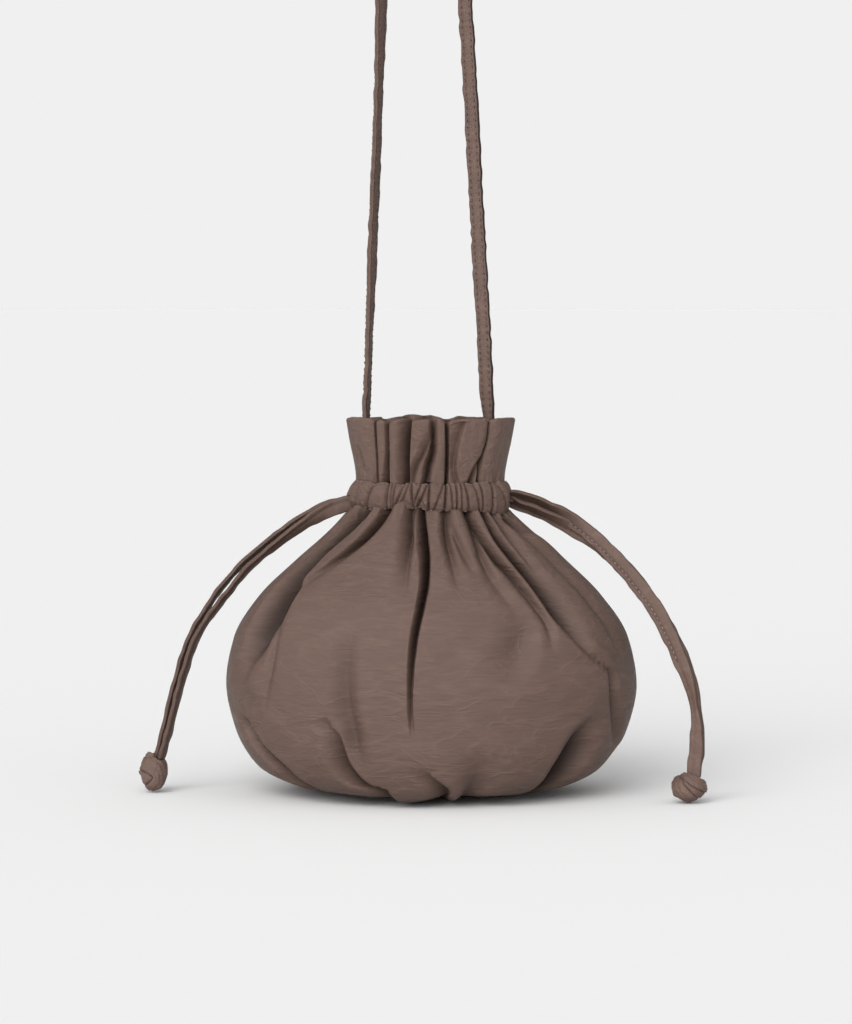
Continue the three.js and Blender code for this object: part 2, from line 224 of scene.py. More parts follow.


# Folds. Each is a few rows of height, turn, depth, and reach to the left and right in degrees. The depth is
# how far the cloth is drawn in, and below 0 it bulges. A leaning fold slips in under the lobe on its right.
# Dark says how much deeper a fold counts for the shade painted into the colour, where light is kept out of
# it; below 0 it paints shade on a bulge.
plainLook = {"lean": 0, "blunt": 0.7, "sharp": 2, "dark": 1}
leanDepth = 3  # where a fold is this deep, it leans in full


def foldShape(folds, turn, height):
    inset = np.zeros(np.broadcast(turn, height).shape)
    slip = np.zeros_like(inset)
    for fold in folds:
        look = {**plainLook, **fold}
        rows = np.array(sorted(fold["rows"]), float)
        middle, depth, left, right = (easeThrough(rows[:, 0], rows[:, c], height) for c in range(1, 5))
        lean = look["lean"] * right * np.clip(depth / leanDepth, 0, 1)
        away = halfTurn(turn - middle + lean)
        far = np.hypot(away, look["blunt"]) - look["blunt"]
        share = np.clip(1 - far / np.where(away < 0, left, right), 0, 1) ** look["sharp"]
        share = share * ((height >= rows[0, 0]) & (height <= rows[-1, 0]))
        inset += depth * share
        slip += lean * share
    return inset, slip


def foldPaintedShade(inset, scale):  # how much shade is painted: 0 out in the open, towards 1 down in a fold
    return 1 - np.exp(-(np.maximum(inset, 0) / scale) ** 2)


def plainFold(start, turn, end, endTurn, depth, reach):  # a fold that fades out evenly
    rows = []
    for share, fade in ((0, 1), (0.35, 0.85), (0.7, 0.45), (1, 0)):
        height = start + (end - start) * share
        rows.append((height, turn + (endTurn - turn) * share, depth * fade, reach, reach))
    return {"rows": rows}


def paintedShadeRows(fold):  # the same fold, as deep as it counts for painted shade
    dark = {**plainLook, **fold}["dark"]
    rows = [(height, turn, depth * dark, *reach) for height, turn, depth, *reach in fold["rows"]]
    return {**fold, "rows": rows}


# Shader tools

class Wire:  # an output socket; sums on it add Math nodes
    def __init__(self, finish, socket):
        self.finish = finish
        self.socket = socket

    def sum(self, operation, first, second):
        return self.finish.node("ShaderNodeMath", {"operation": operation}, {0: first, 1: second})

    def __add__(self, other):
        return self.sum("ADD", self, other)

    def __radd__(self, other):
        return self.sum("ADD", other, self)

    def __sub__(self, other):
        return self.sum("SUBTRACT", self, other)

    def __rsub__(self, other):
        return self.sum("SUBTRACT", other, self)

    def __mul__(self, other):
        return self.sum("MULTIPLY", self, other)

    def __rmul__(self, other):
        return self.sum("MULTIPLY", other, self)


class Finish:  # a material, or the world, and its nodes
    def __init__(self, name, made=None):
        self.material = made or bpy.data.materials.new(name)
        self.material.use_nodes = True
        self.nodes = self.material.node_tree.nodes
        self.links = self.material.node_tree.links
        self.nodes.clear()

    def node(self, kind, settings=None, sockets=None, output=0):
        made = self.nodes.new(kind)
        for key, value in (settings or {}).items():
            if key == "stops":
                while len(made.color_ramp.elements) < len(value):
                    made.color_ramp.elements.new(0.5)
                for element, (position, shade) in zip(made.color_ramp.elements, value):
                    element.position = position
                    element.color = (shade, shade, shade, 1)
            else:
                setattr(made, key, value)
        for key, value in (sockets or {}).items():
            if isinstance(value, Wire):
                self.links.new(value.socket, made.inputs[key])
            else:
                made.inputs[key].default_value = value
        return Wire(self, made.outputs[output]) if made.outputs else None

    def mixColour(self, factor, first, second):  # the colour sockets of a Mix node are its 6th and 7th
        return self.node("ShaderNodeMix", {"data_type": "RGBA"}, {0: factor, 6: first, 7: second}, output=2)

    def scaled(self, vector, factors):
        return self.node("ShaderNodeVectorMath", {"operation": "MULTIPLY"}, {0: vector, 1: factors})

    def noise(self, vector, scale, detail=3, roughness=0.55, distortion=0):
        return self.node("ShaderNodeTexNoise", {"noise_dimensions": "3D"}, {
            "Vector": vector, "Scale": scale, "Detail": detail, "Roughness": roughness,
            "Distortion": distortion,
        })

    def ramp(self, value, *stops):
        return self.node("ShaderNodeValToRGB", {"stops": stops}, {"Fac": value})

    def surface(self, shader):
        self.node("ShaderNodeOutputMaterial", {}, {"Surface": shader})


# Tape: a strip of cloth folded in on itself and sewn flat, swept along a route
plainTape = {  # the stitched stretch, the cupped one by the casing with the shade painted in it, and how far apart the puff swells
    "stitchFrom": 0, "stitchTo": math.inf, "curl": 0, "curlReach": 44, "curlPaintedShade": 0, "puffEvery": 9,
}
faceShift = 20  # between the weaves of a tape's two faces


def tapeSection(faceSteps, endSteps):  # shares across, round the ends and through, once round the section
    face = np.linspace(-1, 1, faceSteps)
    bend = np.radians(np.linspace(90, -90, endSteps + 2)[1:-1])
    across = np.concatenate([face, np.ones(endSteps), face[::-1], -np.ones(endSteps)])
    ends = np.concatenate([0 * face, np.cos(bend), 0 * face, -np.cos(bend)])
    through = np.concatenate([np.ones(faceSteps), np.sin(bend), -np.ones(faceSteps), -np.sin(bend)])
    return across[None, :], ends[None, :], through[None, :]


def acrossAt(along, roll):  # the way across a tape, turned from the depth of the view towards its plane
    depth = unit(np.array([0, 1, 0]) - along * along[:, 1:2])
    inPlane = np.cross(depth, along)
    angle = np.radians(roll)[:, None]
    return depth * np.cos(angle) + inPlane * np.sin(angle)


def sewnTape(name, middle, across, width, look, seed):
    along = unit(np.gradient(middle, axis=0))
    across = unit(across - along * (along * across).sum(1)[:, None])
    thin = np.cross(along, across)
    run = runAlong(middle)
    draw = np.random.default_rng(seed)

    def wave(length):  # slow random swell along the tape
        stations = np.arange(0, run[-1] + 2 * length, length)
        return easeThrough(stations, draw.uniform(-1, 1, len(stations)), run)[:, None]

    share, ends, through = tapeSection(look["faceSteps"], look["endSteps"])
    half = (width / 2)[:, None]
    thick = look["thickness"] / 2
    flat = share * (half - thick)
    edge = np.where(share < 0, wave(look["puckerEvery"]), wave(look["puckerEvery"]))
    nearEdge = np.abs(share) ** 3
    sideways = flat + ends * thick + np.sign(share) * nearEdge * edge * look["pucker"]
    ripple = {row: look["ripple"] * wave(look["rippleEvery"]) for row in (-1, 1)}  # each edge has its own
    lift = nearEdge * np.where(share < 0, ripple[-1], ripple[1])
    puff = look["puff"] * (1 - share ** 2) * (1 + 0.5 * wave(look["puffEvery"]))
    body = thick + puff
    openEdge = ends * look["openSide"] > 0.2
    # Painted shade: up to turnsAt on the tape's faces, and from there on along its open edge
    shade = np.where(
        run[:, None] < look["turnsAt"], look["facePaintedShade"] * ~openEdge, look["edgePaintedShade"] * openEdge,
    )
    shown = ((run >= look["stitchFrom"]) & (run <= look["stitchTo"]))[:, None]
    dive = 0.5 + 0.5 * np.cos(2 * np.pi * run / look["stitchPitch"])[:, None]
    for row in look["stitchRows"]:  # stitches pull the cloth in, most where the thread dives
        near = np.exp(-((flat - row * (half - look["stitchInset"])) / look["dentReach"]) ** 2)
        body = body - near * look["dent"] * (0.55 + 0.45 * dive)
        # shade painted along the dent
        shade = np.maximum(shade, look["rowPaintedShade"] * near * shown)
    groove = look["groove"] * (np.abs(through) < 0.5) * (ends * look["openSide"] > 0.5)
    sideways = sideways - np.sign(share) * groove
    curl = np.clip(1 - run / look["curlReach"], 0, 1)[:, None] * (1 - share ** 2)
    up = through * body + lift - look["curl"] * curl
    rings = middle[:, None, :] + across[:, None, :] * sideways[..., None] + thin[:, None, :] * up[..., None]
    weave = np.stack(np.broadcast_arrays(flat + faceShift * (through < 0), run[:, None], 0 * flat), -1)
    # all the painted shade, also in the cupped curl by the casing
    deep = np.maximum(shade, look["curlPaintedShade"] * curl ** 0.5 * (through > 0))
    obj = ringPiece(name, rings, weave, poles=[middle[0], middle[-1]], deep=deep)
    laid = {"middle": middle, "across": across, "thin": thin, "run": run, "half": half[:, 0]}
    return obj, {**laid, "thick": thick, "ripple": ripple}


# Stitches: short lengths of thread laid along a line, rising in the middle and diving at both ends
thread = {"pitch": 2.7, "length": 1.5, "radius": 0.26, "rise": 0.34, "sink": 0.16, "sides": 6}
threadTaper = (0.6, 0.95, 1, 0.95, 0.6)  # thickness along one stitch


def stitchMeshes(lines, look):
    sides = look["sides"]
    steps = len(threadTaper)
    points = []
    faces = []
    ring = 2 * np.pi * np.arange(sides) / sides
    quads = np.array(ringFaces(steps, sides, False))
    share = np.linspace(0, 1, steps)
    rise = look["rise"] * np.sin(np.pi * share) - look["sink"]
    thickness = look["radius"] * np.array(threadTaper)
    for places, outward in lines:
        run = runAlong(places)
        for start in np.arange(look["pitch"] / 2, run[-1] - look["pitch"], look["pitch"]):
            at = start + look["length"] * share
            line = np.stack([np.interp(at, run, places[:, k]) for k in range(3)], 1)
            out = unit(np.stack([np.interp(at, run, outward[:, k]) for k in range(3)], 1))
            along = line[-1] - line[0]
            along /= np.linalg.norm(along)
            side = np.cross(along, out)
            centre = line + out * rise[:, None]
            first = len(points)
            for c, o, s, r in zip(centre, out, side, thickness):
                points.extend(c + (o * np.sin(ring)[:, None] + s * np.cos(ring)[:, None]) * r)
            faces += (quads + first).tolist()
            faces.append(list(range(first + sides - 1, first - 1, -1)))
            faces.append(list(range(first + (steps - 1) * sides, first + steps * sides)))
    return points, faces


def threadPiece(name, lines, look):
    points, faces = stitchMeshes(lines, look)
    return meshPiece(name, points, faces, points)


def tapeStitchLines(laid, look):  # the rows of stitches on each face of a tape
    lines = []
    shown = (laid["run"] >= look["stitchFrom"]) & (laid["run"] <= look["stitchTo"])
    for row in look["stitchRows"]:
        for face in look["stitchFaces"]:
            offset = row * (laid["half"] - look["stitchInset"])
            out = np.abs(offset) / (laid["half"] - laid["thick"])
            rise = face * (laid["thick"] + look["puff"] * (1 - out ** 2) - look["dent"] * 0.6)
            rise = rise + out ** 3 * laid["ripple"][row][:, 0]
            places = laid["middle"] + laid["across"] * offset[:, None] + laid["thin"] * rise[:, None]
            lines.append((places[shown], laid["thin"][shown] * face))
    return lines


# Drawstrings. Each is one tape that runs round the neck inside the casing, with both ends out at one side.
sideSign = {"left": -1, "right": 1}
# x, y, height, roll, half the gap between the two ends, width, way from the front end to the back
tailRows = {
    "left": [
        (-36.6, 0, 147, 90, 1.2, 6.4, 0), (-40.5, 0, 146.2, 90, 1.2, 7.3, 0),
        (-45, -0.2, 144.9, 94, 1.2, 8.2, 4), (-52, -1, 142.4, 106, 1.3, 8.4, 16),
        (-64, -2, 136.4, 140, 1.6, 8.4, 50), (-79, -3, 126, 152, 1.8, 8.2, 62),
        (-93, -4, 114, 157, 1.9, 8, 67), (-103.5, -4, 102, 161, 2.3, 8, 71),
        (-112, -4, 90, 160, 1.8, 8, 70), (-119, -3, 78, 158, 1.6, 8, 68),
        (-127, -2, 54, 158, 1.5, 7.6, 68), (-133, -1, 30, 155, 1.4, 6.8, 65),
        (-136.6, 0, 17, 150, 1.2, 5.4, 60),
    ],
    "right": [
        (36.6, 0, 149, 90, 1.2, 6.2, 0), (40.5, 0, 148.2, 66, 1.8, 6.8, 60),
        (45, -0.2, 146.8, 46, 2.2, 7.8, 88), (52, -1, 144.6, 40, 2.3, 8.4, 90),
        (61.5, -2.3, 140.4, 42, 2.3, 8.4, 84), (71, -3.8, 135.2, 66, 2, 8.2, 62),
        (83.5, -6, 126.8, 82, 1.5, 8.2, 20), (95.5, -9, 115.4, 86, 1.4, 8.4, 0),
        (105.5, -13, 103.4, 88, 1.4, 8.4, -2), (113.7, -17, 91.8, 84, 1.4, 8.2, -6),
        (125, -25, 68.5, 66, 1.4, 8, -24), (130, -29.5, 54, 50, 1.2, 6.4, -40),
        (131.4, -31, 45, 48, 1, 5.2, -42), (132, -33, 36, 62, 1.1, 6.6, -28),
        (131.6, -34, 26, 70, 1.2, 7.6, -20), (130.2, -35, 12.6, 74, 1.3, 6.8, -16),
    ],
}
drawstring = {
    **plainTape, "width": 8, "thickness": 1.7, "faceSteps": 13, "endSteps": 4, "step": 0.6,
    "pucker": 0.3, "puckerEvery": 4.6, "ripple": 0.34, "rippleEvery": 5, "puff": 0.22,
    "stitchInset": 2.5, "stitchPitch": 2.7, "dent": 0.34, "dentReach": 0.8, "groove": 0.45, "openSide": 1,
    # Shade painted along the stitch dents and the open edge, and none on the faces
    "rowPaintedShade": 0.5, "turnsAt": 0, "facePaintedShade": 0, "edgePaintedShade": 0.2,
    "backLater": 22,  # the back end's stitches start this much further down
}
tailLooks = {  # the edge that is sewn shut, the faces its stitches show on, and the curl by the casing with its painted shade
    "left": {"stitchRows": (1,), "stitchFaces": (1,)},
    "right": {
        "stitchRows": (-1,), "stitchFaces": (1, -1), "stitchFrom": 36, "stitchTo": 128,
        "curl": 1, "curlPaintedShade": 0.85,
    },
}
inCasing = {  # the stretch round the neck, and how far its two ends lie from the middle of the slit
    "fromTurn": 66, "toTurn": -246, "rows": 40, "inset": 0.8, "endsApart": 1.3, "samples": 260, "width": 5.4,
}


def tailStrand(side, strand):  # strand is -1 for the front end and 1 for the back
    sign = sideSign[side]
    samples, along, length = tapeRoute(tailRows[side], drawstring["step"])
    across = acrossAt(along, samples[:, 3])
    apart = acrossAt(along, samples[:, 6]) * (strand * samples[:, 4])[:, None]
    name = f"drawstring_{side}_{'front' if strand < 0 else 'back'}"
    look = {**drawstring, **tailLooks[side]}
    look["stitchFrom"] += drawstring["backLater"] * (strand > 0)
    seed = 11 + 3 * sign + strand
    piece, laid = sewnTape(name, samples[:, :3] + apart, -sign * across, samples[:, 5], look, seed)
    return piece, laid, look, length


def casingLoop(side):  # from the front of its slit right round to the back
    sign = sideSign[side]
    x, _, height = tailRows[side][0][:3]
    turns = sign * np.linspace(inCasing["fromTurn"], inCasing["toTurn"], inCasing["rows"])
    ring = ovalPlace(turns, casing["middleWidth"], casing["middleDepth"], height, inCasing["inset"])
    apart = inCasing["endsApart"]
    rows = np.vstack([[(x - sign, -apart, height)], ring, [(x - sign, apart, height)]])
    samples, length = smoothRoute(rows, inCasing["samples"])
    up = np.tile([0.0, 0, 1], (len(samples), 1))
    width = np.full(len(samples), inCasing["width"])
    look = {**drawstring, "stitchRows": ()}
    piece, _ = sewnTape(f"drawstring_{side}_loop", samples, up, width, look, 31 + sign)
    return piece, length


# Bag body: one tube of cloth, closed below, gathered tight at the neck
body = {
    "columns": 640, "rows": 112, "innerRows": 34, "wall": 1.8, "foot": 52, "gatherFrom": 124, "top": 142,
    "paintedShadeScale": 11, "lump": 0.5, "pucker": 0.8, "restRise": 0.4, "fullRise": 3, "rimStep": 1.4,
    "evenFrom": 8, "evenEvery": 3, "evenBlur": 40,  # the rows that its columns are spaced by
    # The inside keeps clear of the folds, leaves room at the neck, dips under the rim and has a thick floor
    "clear": 0.6, "clearTop": 146, "clearReach": 22, "neckRoom": 1.6, "neckFrom": 130,
    "dip": 1.4, "dipFrom": 138, "floor": 1.6, "floorTop": 5,
    # Height, half width, half depth
    "sections": [
        (0.6, 6, 4), (0.2, 22, 14), (0, 32, 20), (0.7, 41, 28), (1.8, 50, 38), (3, 59, 47),
        (4.4, 66.5, 53.5), (6.6, 74, 57.5), (14, 87, 62.5), (32, 98, 67), (55, 102.5, 67.6),
        (78, 98.5, 64.5), (98, 87, 57), (117, 68, 44.5), (132, 51, 33.5), (142, 41, 26.8),
    ],
    # Turn, how far the underside stands up there, or comes down to the floor
    "feet": [
        (-180, 0), (-75, 0.8), (-58, 0.2), (-50, 0.8), (-24, 0.4), (-17, -0.8), (-11, -2.2), (-5, -1.2),
        (2, 0.6), (7, 1.8), (11, -1), (14, 0.6), (25, 1), (40, 0.6), (46, -1), (49.5, -2.6), (54, 0),
        (90, 0), (180, 0),
    ],
    # Rise and inset of the billow turned in under the casing
    "rim": [(1.1, 0.9), (1.7, 2), (1.5, 3.2), (0.4, 3.9)],
    # From turn, to turn, how far it billows up over the casing's edge, where it peaks
    "lobes": [
        (-75, -52, 2, 0.5), (-52, -33, 1.8, 0.5), (-33, -13, 5.6, 0.7), (-13, -3, 6.2, 0.5),
        (-3, 11, 0.6, 0.5), (11, 28, 0.8, 0.5), (28, 42, 0.2, 0.4), (42, 52, -0.8, 0.5),
        (52, 66, -1.4, 0.5), (66, 98, -1.6, 0.4),
    ],
}
closer = {  # columns stand closer at the front, most in the fine centre fold
    "front": 1.6, "frontHalf": 95, "centre": 2, "centreTurn": -4, "centreReach": 4,
}
# Folds that run down from the neck at the front: height, turn, depth, reach to the left and right
neckFolds = {
    "leftOuter": [(142, -75, 7, 11, 10), (125, -80, 5, 10, 9), (105, -84, 3, 9, 8), (85, -86, 0, 9, 8)],
    "leftValley": [
        (142, -52, 9, 11, 7), (130, -61.5, 12.5, 12, 7), (119, -65, 19.5, 13, 7),
        (111, -64.5, 26, 12, 6), (101, -61.5, 25, 11, 6), (91.5, -61, 20, 10, 6),
        (82.5, -61.6, 14, 9, 6.5), (75, -62.6, 9, 8, 7), (67, -64, 3.4, 8, 8), (58, -66, 0, 7, 8),
    ],
    "leftInner": [
        (142, -33, 11, 6, 6), (130, -39, 12, 5, 6), (121.5, -44.6, 9, 4.6, 6),
        (115.5, -48.7, 5, 4.6, 6), (108.6, -53.5, 2.4, 5, 6), (102, -55.5, 2.2, 5, 6),
        (91.5, -54.2, 2.2, 3, 5), (82, -52.4, 2.4, 3, 4), (69, -51.6, 2.4, 3, 3.5),
        (56, -52.4, 1.5, 3, 3), (44, -54, 0, 3, 3),
    ],
    "neckLeft": [
        (142, -13, 10, 12, 6), (130, -10.5, 9, 7, 5.5), (121, -10, 6.5, 5, 4.5), (112, -9.5, 3, 5, 4),
        (103, -9, 0, 5, 4),
    ],
    "centre": [
        (142, -3, 12, 4.2, 7), (130, -1, 12, 2.7, 5.2), (121, -0.3, 12, 1.8, 3.3),
        (110, -0.7, 11.5, 1.4, 2.2), (100, -2, 10, 1.1, 1.7), (84, -4, 8, 0.8, 1.2),
        (66, -5, 5, 0.5, 0.8), (55, -5.2, 3.6, 0.4, 0.6), (46, -5.2, 2.4, 0.4, 0.6),
        (36, -5, 0, 0.4, 0.6),
    ],
    "neckRight": [
        (142, 11, 9, 8, 8), (130, 9, 8, 5.5, 6), (121, 9.3, 5.5, 4, 5), (112, 9.8, 2.4, 4, 5),
        (104, 10, 0, 4, 5),
    ],
    "neckSlip": [
        (138, 13, 0, 3, 4), (130, 14.2, 4.5, 3.5, 4), (121, 16, 3.6, 3.5, 4), (112, 18.5, 0, 3, 4),
    ],
    "rightFirst": [
        (142, 28, 11, 10, 6), (134, 27.6, 11, 8, 4.5), (127, 25.6, 7.5, 6, 3.5),
        (120, 23.8, 5.5, 5, 3.5), (113, 23.8, 4, 6, 4), (105, 25.7, 2.6, 7, 5), (97, 27.6, 1, 7, 6),
        (90, 28, 0, 7, 6),
    ],
    "rightSecond": [
        (138, 29.5, 0, 3, 4), (133, 29.4, 6, 3, 5), (128, 29.6, 10, 3.5, 6), (120, 30.6, 11.5, 4, 6.5),
        (114, 33.3, 11, 4.5, 6), (105.7, 35.6, 9, 4.6, 5), (97, 37.5, 6.5, 4.4, 4.2),
        (91, 38.5, 4.4, 4.2, 3.8), (85, 38.2, 2.4, 4, 3), (76, 36.5, 0, 4, 3),
    ],
    "rightLong": [
        (142, 42, 9, 8, 6), (129.4, 39.8, 11, 6, 7), (120, 40.9, 13, 6, 10), (111, 42.4, 14, 5.6, 14),
        (102, 43.3, 13.5, 5.4, 16), (93, 44.4, 12, 5, 15), (84, 47.2, 8, 4, 10),
        (77.5, 50.2, 3.6, 3, 4), (73.5, 52.4, 2.6, 2.4, 2.2), (69, 56.6, 2.6, 2.2, 2),
        (65.5, 60.6, 2.2, 2, 2), (61, 62.2, 0, 2, 2.4),
    ],
    "leaf": [
        (82, 53, 0, 3, 5), (77.5, 55.8, -1.8, 2.8, 5), (73, 59.8, -2.8, 2.8, 5),
        (68.5, 63.4, -2.2, 2.8, 5), (63, 66, 0, 3, 5),
    ],
    "rightSlip": [
        (142, 52, 8, 6, 8), (128, 49.5, 5.5, 5, 7), (116, 48.8, 2.4, 4, 6), (107, 48.5, 0, 4, 5),
    ],
    "shoulder": [
        (141, 60, 0, 10, 14), (138.5, 64, 4, 12, 18), (135.5, 68, 5.4, 12, 18),
        (132.5, 72, 3.4, 11, 16), (129.5, 79, -1.8, 12, 14), (124, 84, -1, 12, 12),
        (119, 86, 0, 10, 12),
    ],
    "rightTop": [
        (142, 66, 8, 8, 13), (126, 69, 6, 10, 13), (104, 68, 4.5, 9, 11), (84, 70, 2.6, 9, 11),
        (68, 72, 0, 8, 9),
    ],
}
# Folds of the belly and those pinched in along the bottom, told the same way
bellyFolds = {
    "rightHollow": [
        (101, 31, 0, 8, 6), (92, 30, 1.8, 8, 5), (84, 28.2, 3.6, 8, 5), (76.6, 25.6, 3.8, 8, 5.6),
        (68.7, 23.8, 2.4, 8, 6), (56, 22, 0, 8, 7),
    ],
    "rightEdge": [
        (67, 62, 0, 3, 4), (62, 62.2, 3, 3, 4.4), (57, 62.4, 4.4, 3, 5), (52, 63, 4.6, 3.4, 5.4),
        (43, 66, 3.8, 5, 7), (32, 71, 2.4, 7, 9), (24, 74, 0, 8, 10),
    ],
    "rightRim": [
        (98, 88, 0, 18, 24), (84, 88, -1, 18, 24), (70, 88, -1.5, 18, 24), (54, 88, -1.5, 19, 24),
        (38, 88, -1, 20, 24), (22, 88, 0, 18, 24),
    ],
    "soft": [
        (92, -24, 0, 6, 4.6), (75, -24.6, 3, 6.4, 4.4), (59, -24, 4.2, 6.6, 4),
        (47, -23.2, 4.8, 6.6, 3.8), (36, -22.4, 4.8, 6, 3.8), (25, -22.4, 2.8, 6, 3.8),
        (16, -23, 0, 5, 3.8),
    ],
    "cheek": [(84, -60, 0, 5, 5), (73, -59.6, -1.6, 6, 5), (62, -59, -2, 6, 5), (48, -58, 0, 6, 6)],
    "sweep": [
        (46, -31, 0, 5, 4), (40, -29.9, 3, 5, 3), (37, -28, 5, 5, 2.6), (30.5, -27.2, 8, 5.5, 2.6),
        (23.4, -26.7, 10, 6, 3), (15, -24.1, 11, 7, 3.4), (11.3, -21.5, 10.5, 8, 3.4),
        (9.4, -16.6, 10, 8, 3.4), (4.4, -16.6, 9.5, 8, 4), (0, -17, 8, 8, 5),
    ],
    "bottomLeft": [
        (42, -68, 0, 6, 4), (36, -66, 6, 6, 3.4), (28, -62, 12, 6.5, 3.4), (23.6, -59, 14.5, 7, 3.6),
        (15.7, -54.6, 16, 8, 4), (8, -54, 15, 9, 5), (0, -54, 11, 9, 6),
    ],
    "bottomTuck": [
        (20, -2, 0, 5, 4), (16, 0.5, 4, 5, 3.4), (12, 4, 7.5, 6, 3), (8, 6.6, 9, 7, 3),
        (4, 7.6, 9, 7, 3), (0, 8, 8, 6, 4),
    ],
    "bottomSoft": [(32, 15, 0, 8, 9), (20, 15, 3, 8, 10), (8, 15.5, 7, 6, 12), (0, 16, 8, 5, 10)],
    "bottomRight": [
        (46, 55, 0, 8, 10), (40, 51.6, 3, 8, 12), (35, 49.6, 7, 7, 14), (27, 48.2, 13, 7, 15),
        (16, 47, 16, 7, 15), (5, 48, 14, 6, 14), (0, 49, 11, 6, 12),
    ],
}
# Start height, turn, end height, turn at the end, depth, reach
backFolds = [
    (142, 98, 92, 97, 5, 9), (142, 118, 60, 113, 8, 10), (142, 135, 98, 131, 5, 8),
    (142, 150, 72, 146, 6.5, 8), (142, 168, 46, 171, 8, 9), (142, 184, 104, 184, 5, 7),
    (142, 200, 58, 196, 7.5, 9), (142, 218, 90, 224, 5, 8), (142, 238, 56, 245, 7.5, 9),
    (142, 259, 94, 258, 5, 9), (0, 86, 26, 84, 5, 10), (0, 118, 38, 122, 7, 10),
    (0, 146, 24, 150, 6, 8), (0, 172, 36, 168, 7, 9), (0, 201, 22, 205, 6, 8), (0, 232, 38, 226, 7, 10),
    (0, 268, 26, 270, 5, 10),
]
# How a fold differs from the plain kind, and how much more shade is painted into it
foldLooks = {
    "leftValley": {"blunt": 3, "sharp": 1.6, "dark": 1.55}, "leftInner": {"sharp": 2.2},
    "neckLeft": {"lean": 0.4, "sharp": 2.4}, "centre": {"lean": 0.9, "dark": 2.2},
    "neckRight": {"sharp": 2.6}, "rightFirst": {"sharp": 2.4}, "rightSecond": {"sharp": 2.6},
    "rightLong": {"sharp": 3.2, "dark": 1.5}, "leaf": {"blunt": 1.4}, "rightHollow": {"blunt": 4},
    "soft": {"blunt": 2, "sharp": 2.2, "dark": 1.5}, "cheek": {"blunt": 3}, "sweep": {"lean": 0.5},
    "bottomLeft": {"sharp": 1.6}, "bottomTuck": {"lean": 0.8}, "bottomSoft": {"blunt": 2},
    "bottomRight": {"sharp": 2.1, "blunt": 1.2, "dark": 1.6},
    "rightEdge": {"sharp": 2, "blunt": 1, "dark": 2}, "rightRim": {"sharp": 1, "dark": -6},
    "shoulder": {"blunt": 2, "dark": 2.4},
}
bodyFolds = [{"rows": rows, **foldLooks.get(name, {})} for name, rows in {**neckFolds, **bellyFolds}.items()]
bodyFolds += [plainFold(*row) for row in backFolds]
# the folds as deep as they count for the shade painted into the colour
paintedShadeFolds = [paintedShadeRows(fold) for fold in bodyFolds]


def lobeRise(turn):
    rise = body["restRise"] + 0 * turn
    for first, last, lift, peak in body["lobes"]:
        share = np.clip((turn - first) / (last - first), 0, 1) ** (math.log(0.5) / math.log(peak))
        rise = np.where((turn > first) & (turn < last), lift * np.sin(np.pi * share) ** 0.8, rise)
    return rise


def overCasing(turn):  # 1 where a lobe lies over the casing
    return np.clip(lobeRise(turn) / body["fullRise"], 0, 1)


def underside(turn, height):
    near = np.clip(height / 1.5, 0, 1) * np.clip(1 - height / 14, 0, 1)
    return near * fromTable(body["feet"], turn)


def bodyWall(turn, height, halfWidth, halfDepth, inset):
    drawn, slip = foldShape(bodyFolds, turn, np.clip(height, 0, body["top"]))
    narrow = min(1, halfWidth / body["foot"])
    share = np.clip((height - body["gatherFrom"]) / (body["top"] - body["gatherFrom"]), 0, 1)
    rise = lobeRise(turn) * share ** 2
    lumps = body["lump"] * np.sin(np.radians(turn * 5 + 40)) * np.sin(height / 19 + 1)
    swell = lumps * min(1, height / 30) * (1 - share)
    pucker = body["pucker"] * share ** 4 * softNoise(turn, 170, 41)
    shift = drawn * narrow - 0.3 * rise - swell + pucker + inset
    height = np.maximum(height + rise + underside(turn, height), 0)
    return ovalPlace(turn + slip * narrow, halfWidth, halfDepth, height, shift)


# shade painted into the body's colour, darkest down in its folds
def bodyPaintedShade(turn, height):
    return foldPaintedShade(foldShape(paintedShadeFolds, turn, np.clip(height, 0, body["top"]))[0], body["paintedShadeScale"])


def profileRows(sections, count):  # evenly spaced along a wall's own length, with fewer under the base
    table = np.array(sections, float)
    step = np.hypot(np.diff(table[:, 0]), np.diff(table[:, 1])) * np.where(table[1:, 0] <= 3, 0.3, 1)
    run = totals(step)
    at = np.linspace(0, run[-1], count)
    return np.stack([easeThrough(run, table[:, c], at) for c in range(3)], 1), at


def evenTurns(walls, look):  # turns that space the columns evenly along the folded cloth
    fine = np.linspace(-180, 180, 5001)
    run = sum(np.linalg.norm(np.diff(wall(fine), axis=0), axis=1) for wall in walls)
    blur = look["evenBlur"]
    near = np.hanning(2 * blur + 1)
    run = np.convolve(np.concatenate([run[-blur:], run, run[:blur]]), near / near.sum(), "valid")
    run *= np.where(np.abs(fine[1:]) < closer["frontHalf"], closer["front"], 1)
    fromCentre = (fine[1:] - closer["centreTurn"]) / closer["centreReach"]
    run *= 1 + closer["centre"] * np.exp(-fromCentre ** 2)
    total = totals(run)
    return np.interp(np.linspace(0, total[-1], look["columns"], endpoint=False), total, fine)


def outerWall(look, wall, paintedShadeAt, rimThin):  # the rings up the outside and round the rim, and their turns
    outer, along = profileRows(look["sections"], look["rows"])
    samples = [row for row in outer if row[0] > look["evenFrom"]][::look["evenEvery"]]
    turn = evenTurns([lambda t, r=row: wall(t, *r, 0) for row in samples], look)
    rings = [wall(turn, *row, 0) for row in outer]
    deep = [paintedShadeAt(turn, row[0]) for row in outer]
    lengths = list(along)
    for rise, inset in look["rim"]:
        rings.append(wall(turn, *outer[-1], inset * rimThin(turn)) + [0, 0, rise])
        deep.append(deep[-1])
        lengths.append(lengths[-1] + look["rimStep"])
    return turn, rings, deep, lengths


def lobeThin(turn):  # a lobe over the casing is closed in itself
    return 1 - 0.5 * overCasing(turn)


